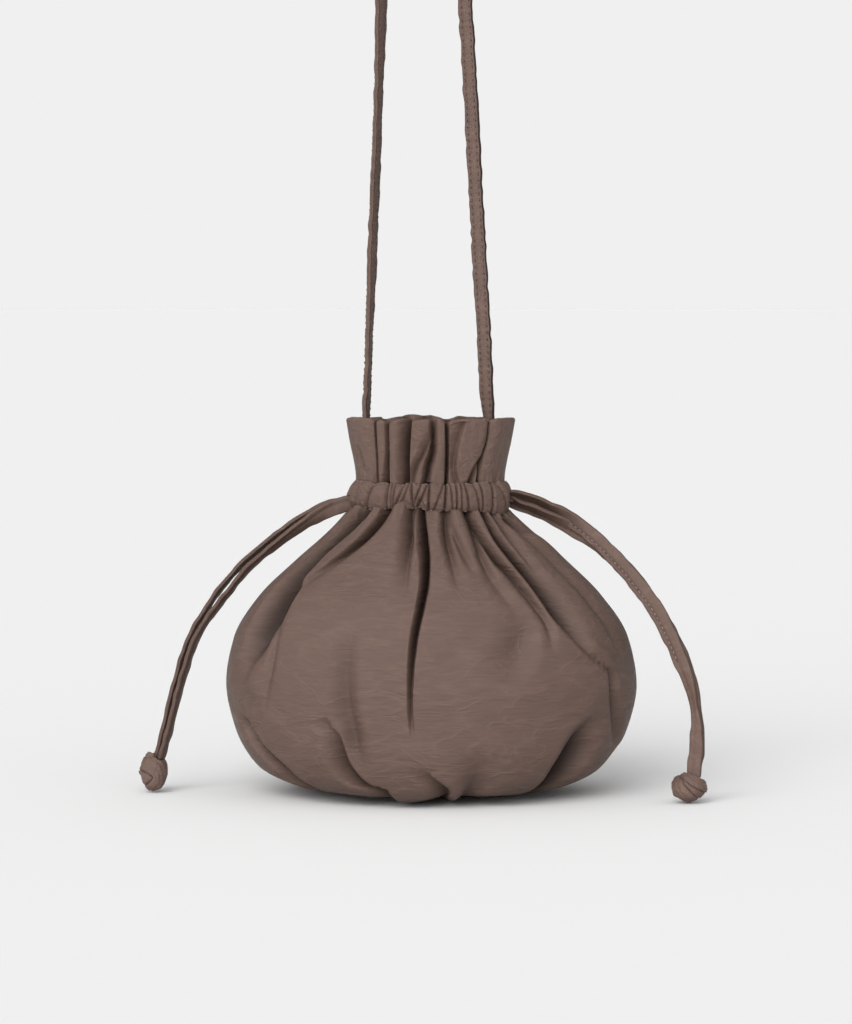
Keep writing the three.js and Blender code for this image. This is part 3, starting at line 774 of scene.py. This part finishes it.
def makeBody():
    turn, rings, deep, lengths = outerWall(body, bodyWall, bodyPaintedShade, lobeThin)
    thin = lobeThin(turn)
    inner, innerAlong = profileRows(body["sections"], body["innerRows"])
    for row, length in zip(inner[::-1], innerAlong[::-1]):
        height = row[0]
        clear = body["clear"] * foldShape(bodyFolds, turn, height)[0]
        clear = clear * min(1, (body["clearTop"] - height) / body["clearReach"])
        atNeck = max(0, (height - body["neckFrom"]) / (body["top"] - body["neckFrom"]))
        ring = bodyWall(turn, *row, body["wall"] + clear + body["neckRoom"] * atNeck * thin)
        dipped = ring[:, 2] - body["dip"] * (height > body["dipFrom"])
        ring[:, 2] = np.maximum(dipped, height + body["floor"] * (height < body["floorTop"]))
        rings.append(ring)
        deep.append(bodyPaintedShade(turn, height))
        lengths.append(length)
    base = body["sections"][0][0]
    poles = [(0, 0, base), (0, 0, body["wall"] + base)]
    return ringPiece("bag_cloth", rings, weaveRows(turn, lengths), poles=poles, deep=deep)


# Casing: the tunnel for the drawstrings, crowded with small pleats
casing = {
    "columns": 640, "sectionSteps": 64, "middleWidth": 36.1, "middleDepth": 22.5, "middleHeight": 150.6,
    "halfThick": 4.5, "fullness": (0.56, 0.85), "top": 157.5, "topWave": 0.8, "wall": 1.1,
    "pucker": 0.55, "swell": 0.5, "pleatGain": 1.3, "pleatSharp": 2.2, "fullPleat": 5.4, "girth": 42,
    "lobeFoot": 144, "lobePress": 1.4,  # where the bag's lobes lie over it
    "flare": {-1: 2.4, 1: 0.6}, "flareReach": 16, "flareHeight": 146.5, "flareTall": 5,
    "slitHalfWidth": 4.2, "slitHalfHeight": 3.4, "slitHeights": {-1: 146.3, 1: 148.5},
    "stitchAngle": 66, "paintedShadeScale": 4.4, "evenBlur": 8,
    # Turn, height of the lower edge
    "bottom": [
        (-180, 143.4), (-120, 143.4), (-90, 143.6), (-64, 144.2), (-53, 142.9), (-45, 143.6),
        (-37, 143.2), (-24, 145.4), (-13, 144), (-8, 144.6), (-3, 143.2), (4, 143.2), (11, 142.8),
        (20, 143.2), (28, 142.4), (36, 142.6), (46, 141.4), (58, 140.4), (72, 140.2), (90, 142),
        (120, 143.4), (180, 143.4),
    ],
}
casingThread = {**thread, "pitch": 2.9, "length": 1.7, "radius": 0.17}
# Turn at the top, turn at the bottom, depth, reach to the left and right
frontPleats = [
    (-79, -84, 1.6, 6, 5), (-68, -72, 2.2, 5, 3), (-47, -56.5, 2.8, 6, 3), (-33.2, -34.8, 2.8, 5, 1.8),
    (-30, -30.5, 1.4, 2, 1.3), (-27, -29.4, 1.6, 2, 1.2), (-20, -27, 2.2, 3, 1.4),
    (-16, -23, 1.9, 2.6, 1.4), (-14.5, -12.7, 2.6, 2.6, 2), (-7, -13.4, 2.2, 2.6, 1.3),
    (-1.6, -9.9, 2.4, 3, 1.5), (-0.6, -1.6, 2.4, 2.2, 2.4), (10.3, 2.8, 2, 2.6, 2),
    (12, 10.8, 3, 2.4, 1.8), (15, 17, 1.7, 1.6, 1.6), (19.6, 20.4, 2.1, 2, 1.6),
    (23.4, 24.4, 1.8, 1.6, 1.6), (26.4, 30.4, 2.4, 2, 2.4), (34, 40, 2, 2.4, 3),
    (40.5, 43.5, 2.4, 3, 2), (53, 53.9, 2.8, 3.6, 3), (60, 74, 2, 3, 5), (79, 82, 1.6, 5, 5),
]
backTurns = (97.0, 266)  # pleats at the back are drawn by lot


def casingPleats():
    draw = np.random.default_rng(21)
    pleats = list(frontPleats)
    turn, lastTurn = backTurns
    while turn < lastTurn:
        reach = draw.uniform(2, 4.2)
        low = turn + draw.uniform(-7, 7)
        pleats.append((turn, low, draw.uniform(1.3, 2.6), reach, reach * draw.uniform(0.4, 1)))
        turn += reach * draw.uniform(1.3, 2.2)
    return pleats


def casingTop(turn):
    return casing["top"] + casing["topWave"] * softNoise(turn, 44, 5)


def casingGrid(pleats, turn, angle):
    cosine = np.cos(angle)[:, None]
    sine = np.sin(angle)[:, None]
    fullness = np.where(sine > 0, casing["fullness"][1], casing["fullness"][0])
    out = np.sign(cosine) * np.abs(cosine) ** fullness * casing["halfThick"]
    bottom = fromTable(casing["bottom"], turn)[None, :]
    top = casingTop(turn)[None, :]
    middle = casing["middleHeight"]
    up = sine * np.where(sine > 0, top - middle, middle - bottom)
    level = (sine + 1) / 2
    inset = np.zeros((len(angle), len(turn)))
    for pleatTop, pleatBottom, depth, left, right in pleats:
        away = halfTurn(turn[None, :] - (pleatBottom + (pleatTop - pleatBottom) * level))
        share = np.clip(1 - np.abs(away) / np.where(away < 0, left, right), 0, 1)
        inset = np.maximum(inset, casing["pleatGain"] * depth * share ** casing["pleatSharp"])
    gather = np.abs(sine) ** 6 * casing["pucker"] * (1 + softNoise(turn, 150, 9)[None, :])
    inset = inset * (0.8 + 0.2 * sine ** 2) + gather
    covered = np.clip((lobeRise(turn)[None, :] + casing["lobeFoot"] - middle - up) / 2, 0, 1)
    pressed = casing["lobePress"] * (covered * overCasing(turn))
    flare = np.where(turn < 0, casing["flare"][-1], casing["flare"][1])
    aside = (np.abs(turn) - 90) / casing["flareReach"]
    above = (middle + up - casing["flareHeight"]) / casing["flareTall"]
    flare = flare * np.exp(-aside ** 2 - above ** 2)
    swell = casing["swell"] * softNoise(turn, 30, 3)
    out = out * (1 - inset / casing["fullPleat"]) + np.maximum(cosine, 0) * (flare + swell - pressed)
    points = ovalPlace(turn[None, :], casing["middleWidth"], casing["middleDepth"], 0, -out)
    points[..., 2] = middle + up * (1 - 0.3 * inset / casing["fullPleat"])
    # with shade painted into the pleats, more the deeper they are
    return points, foldPaintedShade(inset, casing["paintedShadeScale"])


def makeCasing():
    pleats = casingPleats()
    belt = np.zeros(1)
    turn = evenTurns([lambda t: casingGrid(pleats, t, belt)[0][0]], casing)
    angle = np.linspace(0, 2 * np.pi, casing["sectionSteps"], endpoint=False)
    rings, deep = casingGrid(pleats, turn, angle)
    faces = ringFaces(len(angle), len(turn), True)
    flat = rings.reshape(-1, 3)
    centre = flat[np.array(faces)].mean(1)
    kept = np.ones(len(faces), bool)
    for side, height in casing["slitHeights"].items():  # where the drawstring's two ends come out
        atSide = centre[:, 0] * side > casing["middleWidth"]
        atSlit = atSide & (np.abs(centre[:, 1]) < casing["slitHalfWidth"])
        kept &= ~(atSlit & (np.abs(centre[:, 2] - height) < casing["slitHalfHeight"]))
    faces = [face for face, keep in zip(faces, kept) if keep]
    around = casing["girth"] * np.sin(angle)[:, None] / 2 + 0 * turn[None, :]
    weave = np.stack([np.broadcast_to(turn / 360 * weaveGirth, around.shape), around, 0 * around], -1)
    obj = meshPiece("casing_cloth", flat, faces, weave.reshape(-1, 3), deep)
    thicken = obj.modifiers.new("cloth", "SOLIDIFY")
    thicken.thickness = casing["wall"] * mm
    thicken.offset = -1
    applyModifiers(obj)
    return obj, rings, angle


def casingStitches(rings, angle):  # the two rows of sewing that close the tunnel
    lines = []
    for up in (-1, 1):
        row = np.abs(angle - math.radians(up * casing["stitchAngle"] % 360)).argmin()
        places = rings[row]
        around = np.roll(places, -1, 0) - np.roll(places, 1, 0)
        outward = unit(np.cross(around, rings[(row + 1) % len(angle)] - rings[row - 1]))
        lines.append((places, outward))
    return lines


# Frill: the cloth above the casing, standing up in deep folds with a turned edge
frill = {
    "columns": 640, "rows": 58, "innerRows": 26, "wall": 2.3, "paintedShadeScale": 9, "sharp": 1.8,
    "shoulder": 1.5, "shoulderReach": 8, "low": 156, "high": 190, "crestFrom": 166, "crestReach": 22,
    "footTop": 168, "footReach": 10, "crestRipple": 0.25, "edgeRipple": 0.25, "footRipple": 0.5,
    "rimStep": 0.8, "evenFrom": 0, "evenEvery": 9, "evenBlur": 14,
    "weaveFrom": 260,  # so that its weave isn't the bag's
    # Height, half width, half depth
    "sections": [
        (156.9, 36.8, 23.2), (160, 37.2, 23.7), (166, 38.2, 24.8), (177, 40.5, 26.5),
        (188.2, 42.4, 27.9),
    ],
    # Rise and inset round the turned edge
    "rim": [(0.7, 0.25), (1.1, 0.9), (0.8, 1.7)],
    # Turn, how far the top edge stands up or hangs there
    "crest": [
        (-180, -0.8), (-166, -0.2), (-156, -0.9), (-147, -2.4), (-136, -1), (-120, -1.8), (-108, -1.2),
        (-92, -0.9), (-64, 0.2), (-46, -0.2), (-41, -1.3), (-36, -0.7), (-30, -2.4), (-25, -0.7),
        (-18, -0.1), (-14, -1), (-8, -0.5), (0, -0.3), (2, -0.8), (6, 0.4), (11, -2), (16, -0.9),
        (21, -0.2), (38, 0.1), (45, -0.7), (54, 0), (74, -0.3), (92, -0.9), (112, -1.3), (124, -2),
        (134, -1), (150, -1.5), (158, -0.8), (167, -2.4), (174, -1.4), (180, -0.8),
    ],
}
# Height, turn, depth, reach to the left and right
frillRows = {
    "panelEdge": [(156, -49, 5, 1.3, 1.6), (174, -44.6, 5, 1.1, 1.3), (190, -42.6, 4.5, 1.1, 1.5)],
    "second": [
        (156, -36, 10, 7, 2.6), (164, -35, 7.5, 3.4, 2), (174, -32.8, 4.6, 1.5, 1.5),
        (190, -31, 4, 1.3, 1.8),
    ],
    "third": [(156, -19, 8, 8, 2.6), (174, -16.5, 9, 10, 2.4), (190, -14, 7, 10, 2.6)],
    "bow": [
        (157, -14, 3, 4, 4), (164, -11, 4, 4.5, 4), (171, -5.5, 3.6, 5, 3.6), (179, 0, 2.4, 5, 4),
        (186, 2, 0, 5, 4),
    ],
    "fourth": [(156, -4, 5, 4, 4), (166, -1, 6.5, 4.4, 3.6), (174, 2, 6.5, 4, 3), (190, 2, 3.6, 3, 3)],
    "fifth": [(156, 13, 6, 1.4, 1.6), (174, 12.2, 5.5, 1, 1.3), (190, 11.4, 5.5, 1, 1.7)],
    "slack": [(157, 22, 3.4, 7, 4), (166, 19, 4.2, 8, 4), (176, 20, 3.8, 9, 4), (188, 24, 2.6, 10, 5)],
    "sixth": [
        (156, 41, 6, 1.7, 1.9), (170, 43, 5.5, 1.4, 1.5), (180, 45.6, 5, 1.2, 1.3),
        (190, 45.4, 4.5, 1.2, 1.5),
    ],
    "branch": [(155, 32, 5, 5, 4), (163, 36.5, 4, 5, 3.4), (171, 42, 0, 4, 3)],
    "dent": [(160, -66, 0, 7, 7), (165, -64, 1.2, 7, 6), (169, -65, 1, 7, 7), (176, -66, 0, 8, 8)],
}
# Turn at the top, turn at the casing, depth, reach
frillBack = [
    (122, 126, 6, 10), (141, 140, 6.5, 9), (158, 161, 5.5, 8), (170, 171, 7, 7), (187, 184, 6, 8),
    (203, 204, 7, 9), (222, 219, 6, 9), (239, 240, 5.5, 10), (98, 99, 4, 11), (262, 260, 4, 11),
]
frillLeans = {
    "third": 0.5, "fifth": 0.4, "panelEdge": -0.8, "bow": 0.5, "slack": 0.6, "sixth": 0.6,
    "second": 0.3,
}
frillFolds = []
for name, rows in frillRows.items():
    frillFolds.append({"rows": rows, "lean": frillLeans.get(name, 0), "sharp": frill["sharp"]})
for name in ("panelEdge", "second", "third", "fourth", "fifth", "sixth"):  # lobes round off towards these
    soft = (frill["shoulder"], frill["shoulderReach"], frill["shoulderReach"])
    frillFolds.append({"rows": [(height, turn, *soft) for height, turn, *_ in frillRows[name]]})
for turn, foot, depth, reach in frillBack:
    shape = (depth, reach, reach)
    frillFolds.append({"rows": [(frill["low"], foot, *shape), (frill["high"], turn, *shape)]})


def frillFold(turn, height):
    return foldShape(frillFolds, turn, np.clip(height, frill["low"], frill["high"]))


def frillWall(turn, height, halfWidth, halfDepth, inset):
    drawn, slip = frillFold(turn, height)
    share = np.clip((height - frill["crestFrom"]) / frill["crestReach"], 0, 1)
    crest = share * (fromTable(frill["crest"], turn) + frill["crestRipple"] * softNoise(turn, 70, 17))
    ripple = frill["edgeRipple"] * share * softNoise(turn, 90, 23)
    foot = np.clip((frill["footTop"] - height) / frill["footReach"], 0, 1)
    crest = crest + foot * (casingTop(turn) - casing["top"])
    ripple = ripple + frill["footRipple"] * foot ** 3 * softNoise(turn, 150, 29)
    return ovalPlace(turn + slip, halfWidth, halfDepth, height + crest, drawn + ripple + inset)


# shade painted into the frill's colour, darkest down in its folds
def frillPaintedShade(turn, height):
    return foldPaintedShade(frillFold(turn, height)[0], frill["paintedShadeScale"])


def makeFrill():
    turn, rings, deep, lengths = outerWall(frill, frillWall, frillPaintedShade, np.ones_like)
    inner, innerAlong = profileRows(frill["sections"], frill["innerRows"])
    for row, length in zip(inner[::-1], innerAlong[::-1]):
        rings.append(frillWall(turn, *row, frill["wall"]))
        deep.append(frillPaintedShade(turn, row[0]))
        lengths.append(2 * innerAlong[-1] - length)
    weave = weaveRows(turn, [run + frill["weaveFrom"] for run in lengths])
    return ringPiece("frill_cloth", rings, weave, wrap=True, deep=deep)


# Strap: one long tape, up from inside the mouth, over where it hangs and down again
# x, height, roll
strapRows = {
    "left": [
        (-32.6, 161, 0), (-32.4, 176, 8), (-32, 192, 19), (-31, 222, 15), (-29.9, 249, 23),
        (-28.8, 276, 30), (-27.7, 303, 30), (-26.1, 344, 22), (-24.2, 397, 42), (-18.4, 545, 12),
    ],
    "right": [
        (8.9, 545, 50), (17.3, 397, 68), (21.9, 316, 64), (26.4, 236, 68), (28.9, 192, 50),
        (30.6, 177, 18), (32.4, 161, 0),
    ],
}
strap = {
    **plainTape, "width": 8, "thickness": 2.3, "faceSteps": 15, "endSteps": 5, "step": 0.62,
    "pucker": 0.36, "puckerEvery": 3.4, "ripple": 0.3, "rippleEvery": 4.6, "puff": 0.2,
    "stitchRows": (-1, 1), "stitchFaces": (1, -1), "stitchInset": 1.9, "stitchPitch": 3.3,
    "dent": 0.3, "dentReach": 0.7, "groove": 0.5, "openSide": -1,
    # Shade painted on the faces up to turnsAt, along the open edge after it, and a little along the stitch
    # dents
    "rowPaintedShade": 0.16, "turnsAt": 560, "facePaintedShade": 0.3, "edgePaintedShade": 0.95,
    "middle": -5.9, "bend": 6.9, "bendHeight": 689, "bendRows": 9,
}
strapThread = {
    **thread, "pitch": strap["stitchPitch"], "length": 1.5, "radius": 0.27, "rise": 0.36, "sink": 0.06,
}


def makeStrap():
    angle = np.linspace(0, np.pi, strap["bendRows"])
    x = strap["middle"] - strap["bend"] * np.cos(angle)
    height = strap["bendHeight"] + strap["bend"] * np.sin(angle)
    rows = np.vstack([strapRows["left"], np.stack([x, height, 0 * angle], 1), strapRows["right"]])
    rows = np.stack([rows[:, 0], 0 * rows[:, 0], rows[:, 1], rows[:, 2]], 1)
    samples, along, length = tapeRoute(rows, strap["step"])
    across = acrossAt(along, samples[:, 3])
    width = np.full(len(samples), strap["width"])
    piece, laid = sewnTape("strap_tape", samples[:, :3], across, width, strap, 51)
    return piece, laid, length


# Knots: the two ends of each drawstring tied together, wrap over wrap, the lowest wrap told first.
# A wrap is places along its middle as (turn, tilt), half its width in degrees, height, drop at the edge.
# A corner is turn, tilt, height, reach.
knots = {
    "left": {
        "centre": (-139.3, 0, 10.4), "half": (7.1, 7, 10), "core": 0.86, "socket": (3.6, 3),
        "wraps": [
            ([(-150, 60), (-120, 10), (-80, -22), (-40, -34), (-12, -52), (40, -80)], 27, 0.96, 0.05),
            ([(-20, -50), (-28, -66), (-40, -85)], 15, 0.98, 0.05),
            ([(150, 70), (165, 20), (160, -30), (140, -70)], 40, 0.98, 0.08),
            ([(-120, 35), (-60, 46), (-12, 36), (30, 12), (44, -22), (30, -58), (-30, -84)], 40, 1, 0.07),
            ([(-110, 62), (-60, 60), (-20, 66), (30, 72)], 11, 1.04, 0.05),
            ([(110, 60), (120, 10), (125, -40)], 32, 0.99, 0.08),
        ],
        "corners": [(-80, 0, 0.2, 18), (-48, -46, 0.13, 40), (40, -44, 0.08, 36), (-60, 66, 0.06, 12)],
    },
    "right": {
        "centre": (127.4, -36, 7.7), "half": (9, 7.8, 7.3), "core": 0.86, "socket": (3.6, 3),
        "wraps": [
            ([(150, 50), (165, 0), (150, -50)], 40, 0.98, 0.08),
            ([(100, -60), (70, -30), (40, -22), (10, -20)], 24, 0.9, 0.04),
            ([(-110, 60), (-66, 38), (-48, 0), (-24, -38), (8, -62), (60, -80)], 37, 0.99, 0.07),
            ([(-60, 72), (-16, 56), (0, 26), (22, -4), (48, -24), (80, -34)], 17, 0.97, 0.06),
            ([(-20, 88), (16, 50), (40, 26), (66, 12), (96, 4), (130, 0)], 27, 1.02, 0.07),
            ([(-120, 20), (-140, -20), (-150, -60)], 30, 0.97, 0.08),
        ],
        "corners": [
            (-16, -76, 0.1, 18), (82, -20, 0.1, 22), (-78, -34, 0.1, 26), (-64, 36, -0.12, 36),
            (60, -46, 0.06, 16),
        ],
    },
}
knotCloth = {  # shares of the knot's half size, and degrees
    "subdivisions": 7, "ribs": 13, "ribHeight": 0.014, "press": 0.13, "pressReach": 4, "grain": 0.022,
    "socketEdge": 0.25,
}


def towards(turn, tilt):
    turn = np.radians(turn)
    tilt = np.radians(tilt)
    return np.stack([np.sin(turn) * np.cos(tilt), -np.cos(turn) * np.cos(tilt), np.sin(tilt) + 0 * turn], -1)


def layWrap(facing, size, places, halfWidth, height, drop):  # one turn of tape over what is there already
    fine, _ = smoothRoute(towards(*np.array(places, float).T), 80)
    away = np.degrees(np.arccos(np.clip((facing @ unit(fine).T).max(1), -1, 1)))
    across = np.clip(away / halfWidth, 0, 1)
    ribs = knotCloth["ribHeight"] * np.cos(knotCloth["ribs"] * across) * (1 - across ** 2)
    tape = height - drop * across ** 4 + ribs
    beside = np.clip(away - halfWidth, 0, None)
    pressed = size - knotCloth["press"] * np.exp(-beside / knotCloth["pressReach"])
    return np.where(away < halfWidth, np.maximum(size, tape), pressed)


def makeKnot(side):
    look = knots[side]
    ball = bmesh.new()
    bmesh.ops.create_icosphere(ball, subdivisions=knotCloth["subdivisions"], radius=1)
    facing = np.array([v.co for v in ball.verts])
    faces = [[v.index for v in f.verts] for f in ball.faces]
    ball.free()
    size = np.full(len(facing), look["core"])
    for wrap in look["wraps"]:
        size = layWrap(facing, size, *wrap)
    for turn, tilt, height, reach in look["corners"]:
        away = np.degrees(np.arccos(np.clip(facing @ towards(turn, tilt), -1, 1)))
        size = size + height * np.clip(1 - away / reach, 0, 1) ** 1.5
    grain = [noise.noise(Vector(4 * v)) + 0.6 * noise.noise(Vector(9 * v)) for v in facing]
    size = size + knotCloth["grain"] * np.array(grain)
    points = facing * np.array(look["half"]) * size[:, None]
    rows = np.array(tailRows[side], float)  # the tapes go in where their last rows lead
    rel = points - (rows[-1, :3] - look["centre"])
    run = rows[-1, :3] - rows[-2, :3]
    run /= np.linalg.norm(run)
    wide = acrossAt(run[None], rows[-1:, 3])[0]
    thin = np.cross(run, wide)
    halfWide, halfThin = look["socket"]
    inSocket = ((rel @ wide / halfWide) ** 4 + (rel @ thin / halfThin) ** 4) ** 0.25
    outside = -(rel @ run)
    edge = knotCloth["socketEdge"]
    sinkBy = np.clip(1 + edge - inSocket, 0, edge) / edge * (outside > -4)
    depth = np.maximum(outside + 0.5, 0) * sinkBy
    points = points + run * depth[:, None]
    return meshPiece(f"knot_{side}_tied", points + look["centre"], faces, points)


# Finishes
tan = {
    "light": (0.106, 0.0685, 0.0555, 1), "dark": (0.078, 0.0496, 0.0396, 1),
    # the colour and strength of the shade painted down in folds
    "deep": (0.016, 0.0095, 0.0075, 1), "shade": 0.88,
    "roughness": 0.48, "roughnessSpread": 0.2, "specular": 0.15,
    "streak": 0.00024, "crinkle": 0.00115, "crease": 0.0002, "threads": 0.00003, "threadPitch": 0.42,
}
neckTanPaintedLighter = {  # the same cloth, painted a little lighter to stand in for more light on the casing and frill
    **tan, "light": (0.121, 0.0785, 0.0635, 1), "dark": (0.0895, 0.057, 0.0455, 1),
}
tapeTan = {
    **tan, "light": (0.118, 0.0765, 0.062, 1), "dark": (0.087, 0.0556, 0.0445, 1),
    "crinkle": 0.0003, "crease": 0.00008,
}
tailSewing = {"dark": (0.1, 0.064, 0.051, 1), "light": (0.27, 0.186, 0.152, 1)}
strapSewing = {"dark": (0.022, 0.01, 0.008, 1), "light": (0.06, 0.031, 0.025, 1)}


def clothFinish(name, look):
    finish = Finish(name)
    weave = finish.node("ShaderNodeAttribute", {"attribute_name": "weave"}, output="Vector")
    paintedShadeAmount = finish.node("ShaderNodeAttribute", {"attribute_name": "deep"}, output="Fac")

    def grain(stretch, **settings):  # noise drawn out along the cloth
        return finish.noise(finish.scaled(weave, stretch), 1, **settings)

    streaks = grain((0.1, 0.8, 0.6), detail=4, roughness=0.62, distortion=0.5)
    fine = grain((0.5, 2.6, 2), detail=3, roughness=0.6)
    crush = grain((0.045, 0.11, 0.08), detail=3, roughness=0.5, distortion=0.8)
    patches = grain((0.02, 0.03, 0.03), detail=2)
    folded = grain((0.03, 0.07, 0.05), detail=2, roughness=0.5, distortion=1.2)
    ridge = finish.node("ShaderNodeMath", {"operation": "ABSOLUTE"}, {0: folded * 2 - 1})
    crease = finish.node("ShaderNodeMath", {"operation": "POWER", "use_clamp": True}, {0: 1 - ridge, 1: 14})
    parts = finish.node("ShaderNodeSeparateXYZ", {}, {0: weave})
    turns = 2 * math.pi / look["threadPitch"]
    warp = finish.node("ShaderNodeMath", {"operation": "SINE"}, {0: parts * turns})
    upward = Wire(finish, parts.socket.node.outputs["Y"])
    weft = finish.node("ShaderNodeMath", {"operation": "SINE"}, {0: upward * turns})
    # Tone varies at random with the streaks, fine grain and patches; the crease lines are painted lighter as
    # a highlight
    mottleAndCreaseHighlight = streaks * 0.5 + fine * 0.2 + patches * 0.3 + crease * 0.16
    plain = finish.mixColour(finish.ramp(mottleAndCreaseHighlight, (0.31, 0), (0.7, 1)), look["dark"], look["light"])
    # shade painted into the colour, darkest down in folds
    colour = finish.mixColour(paintedShadeAmount * look["shade"], plain, look["deep"])
    rough = look["roughness"] + look["roughnessSpread"] * (crush - 0.5) + 0.1 * (fine - 0.5) - 0.06 * crease
    height = streaks * look["streak"] + fine * (look["streak"] * 0.35) + crush * look["crinkle"]
    height = height + crease * look["crease"] + warp * weft * look["threads"]
    bump = finish.node("ShaderNodeBump", {}, {"Strength": 1.0, "Distance": 1.0, "Height": height})
    finish.surface(finish.node("ShaderNodeBsdfPrincipled", {}, {
        "Base Color": colour, "Roughness": rough, "Normal": bump, "Specular IOR Level": look["specular"],
    }))
    return finish


def threadFinish(name, look):
    finish = Finish(name)
    weave = finish.node("ShaderNodeAttribute", {"attribute_name": "weave"}, output="Vector")
    tone = finish.noise(weave, 0.9, detail=2)
    twist = finish.node("ShaderNodeTexWave", {"wave_type": "BANDS", "bands_direction": "DIAGONAL"}, {
        "Vector": weave, "Scale": 1.6, "Distortion": 1.0,
    }, output="Fac")
    colour = finish.mixColour(tone, look["dark"], look["light"])
    bump = finish.node("ShaderNodeBump", {}, {"Strength": 1.0, "Distance": 0.00006, "Height": twist})
    finish.surface(finish.node("ShaderNodeBsdfPrincipled", {}, {
        "Base Color": colour, "Roughness": 0.4 + 0.15 * tone, "Normal": bump, "Sheen Weight": 0.2,
    }))
    return finish


# Making it all, the drawstrings first
def settle(piece, finish, slot, *nodes):
    piece.data.materials.append(finish.material)
    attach(piece, "root")
    if nodes:
        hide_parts(*nodes)
    return piece


clothMaterial = clothFinish("bag cloth", tan)
neckMaterialPaintedLighter = clothFinish("neck cloth", neckTanPaintedLighter)
tapeMaterial = clothFinish("tape cloth", tapeTan)
threadMaterial = threadFinish("thread", tailSewing)
strapThreadMaterial = threadFinish("strap thread", strapSewing)
for side in ("left", "right"):
    knot = settle(makeKnot(side), tapeMaterial, "tape", f"knot_{side}")
    loop, loopLength = casingLoop(side)
    settle(loop, tapeMaterial, "tape", f"drawstring_{side}")
    for strand in (-1, 1):
        tail, laid, look, tailLength = tailStrand(side, strand)
        settle(tail, tapeMaterial, "tape", f"drawstring_{side}")
        sewn = threadPiece(tail.name + "_stitches", tapeStitchLines(laid, look), thread)
        settle(sewn, threadMaterial, "tape")
        tailLength * mm
    print("drawstring", side, round(2 * tailLength + loopLength), "mm")

strapPiece, strapLaid, strapLength = makeStrap()
settle(strapPiece, tapeMaterial, "tape", "strap")
strapSewn = threadPiece("strap_stitches", tapeStitchLines(strapLaid, strap), strapThread)
settle(strapSewn, strapThreadMaterial, "tape")
print("strap", round(strapLength), "mm")

bag = settle(makeBody(), clothMaterial, "cloth", "bag_body")
print("bag body")
gathered, casingRings, casingAngle = makeCasing()
settle(gathered, neckMaterialPaintedLighter, "cloth", "casing")
print("casing")
ruffle = settle(makeFrill(), neckMaterialPaintedLighter, "cloth", "frill")
print("frill")
casingSewn = threadPiece("casing_stitches", casingStitches(casingRings, casingAngle), casingThread)
settle(casingSewn, threadMaterial, "cloth")


# Floor, backdrop and light. The room is brightest above the camera's left, and one lamp lights only the bag.
stage = {
    "floorAlbedo": 0.8, "paper": 0.871, "radius": 14, "domeShare": 0.98, "drop": 0.0004,
    "room": 0.62, "roomTurn": 0.36, "roomFrom": (-0.14, -0.9, 0.36),
    "keyFrom": (-0.36, -0.75, 0.55), "keyAngle": 50, "bagKey": (-0.2, -0.95, 0.2), "bagKeyStrength": 0.67,
}


def stagePiece(name, shape, finish):
    mesh = bpy.data.meshes.new(name)
    shape.to_mesh(mesh)
    shape.free()
    mesh.materials.append(finish.material)
    obj = sceneObject(name, mesh)
    obj.location = (0, 0, baseZ - stage["drop"])
    return obj


def makeStage():
    paper = Finish("floor paper")
    grey = stage["floorAlbedo"]
    paper.surface(paper.node("ShaderNodeBsdfDiffuse", {}, {"Color": (grey, grey, grey, 1)}))
    circle = bmesh.new()
    bmesh.ops.create_circle(circle, cap_ends=True, segments=96, radius=stage["radius"])
    stagePiece("floor", circle, paper)
    glow = Finish("backdrop paper")
    glow.surface(glow.node("ShaderNodeEmission", {}, {"Color": (1, 1, 1, 1), "Strength": stage["paper"]}))
    dome = bmesh.new()
    domeRadius = stage["radius"] * stage["domeShare"]
    bmesh.ops.create_uvsphere(dome, u_segments=64, v_segments=32, radius=domeRadius)
    backdrop = stagePiece("backdrop", dome, glow)
    for ray in ("diffuse", "glossy", "transmission", "shadow"):
        setattr(backdrop, f"visible_{ray}", False)


def farLamp(name, source, angle, strength):  # the strength is the light it gives a surface that faces it
    lamp = bpy.data.lights.new(name, "SUN")
    lamp.energy = strength * math.pi
    lamp.angle = math.radians(angle)
    obj = sceneObject(name, lamp)
    obj.rotation_euler = source.to_track_quat("Z", "Y").to_euler()
    return obj


def makeLight(pieces):
    room = Finish("room", bpy.data.worlds.new("room"))
    brightest = Vector(stage["roomFrom"]).normalized()
    away = room.node("ShaderNodeTexCoord", output="Generated")
    product = {"operation": "DOT_PRODUCT"}
    facing = room.node("ShaderNodeVectorMath", product, {0: away, 1: brightest}, output="Value")
    glow = stage["room"] + stage["roomTurn"] * facing
    sky = room.node("ShaderNodeBackground", {}, {"Color": (1, 1, 1, 1), "Strength": glow})
    room.node("ShaderNodeOutputWorld", {}, {"Surface": sky})
    bpy.context.scene.world = room.material
    keyFrom = Vector(stage["keyFrom"]).normalized()
    fromRoom = stage["room"] + 2 / 3 * stage["roomTurn"] * brightest.z
    lacking = stage["paper"] / stage["floorAlbedo"] - fromRoom  # so that open floor is paper white
    farLamp("key", keyFrom, stage["keyAngle"], lacking / keyFrom.z)
    bagFrom = Vector(stage["bagKey"]).normalized()
    lamp = farLamp("bag key", bagFrom, stage["keyAngle"], stage["bagKeyStrength"])
    lit = bpy.data.collections.new("lit by the bag key")
    for piece in pieces:
        lit.objects.link(piece)
    lamp.light_linking.receiver_collection = lit
    bpy.context.scene.view_settings.view_transform = "Standard"


made = [obj for obj in bpy.context.scene.objects if obj.type == "MESH"]
makeStage()
makeLight(made)
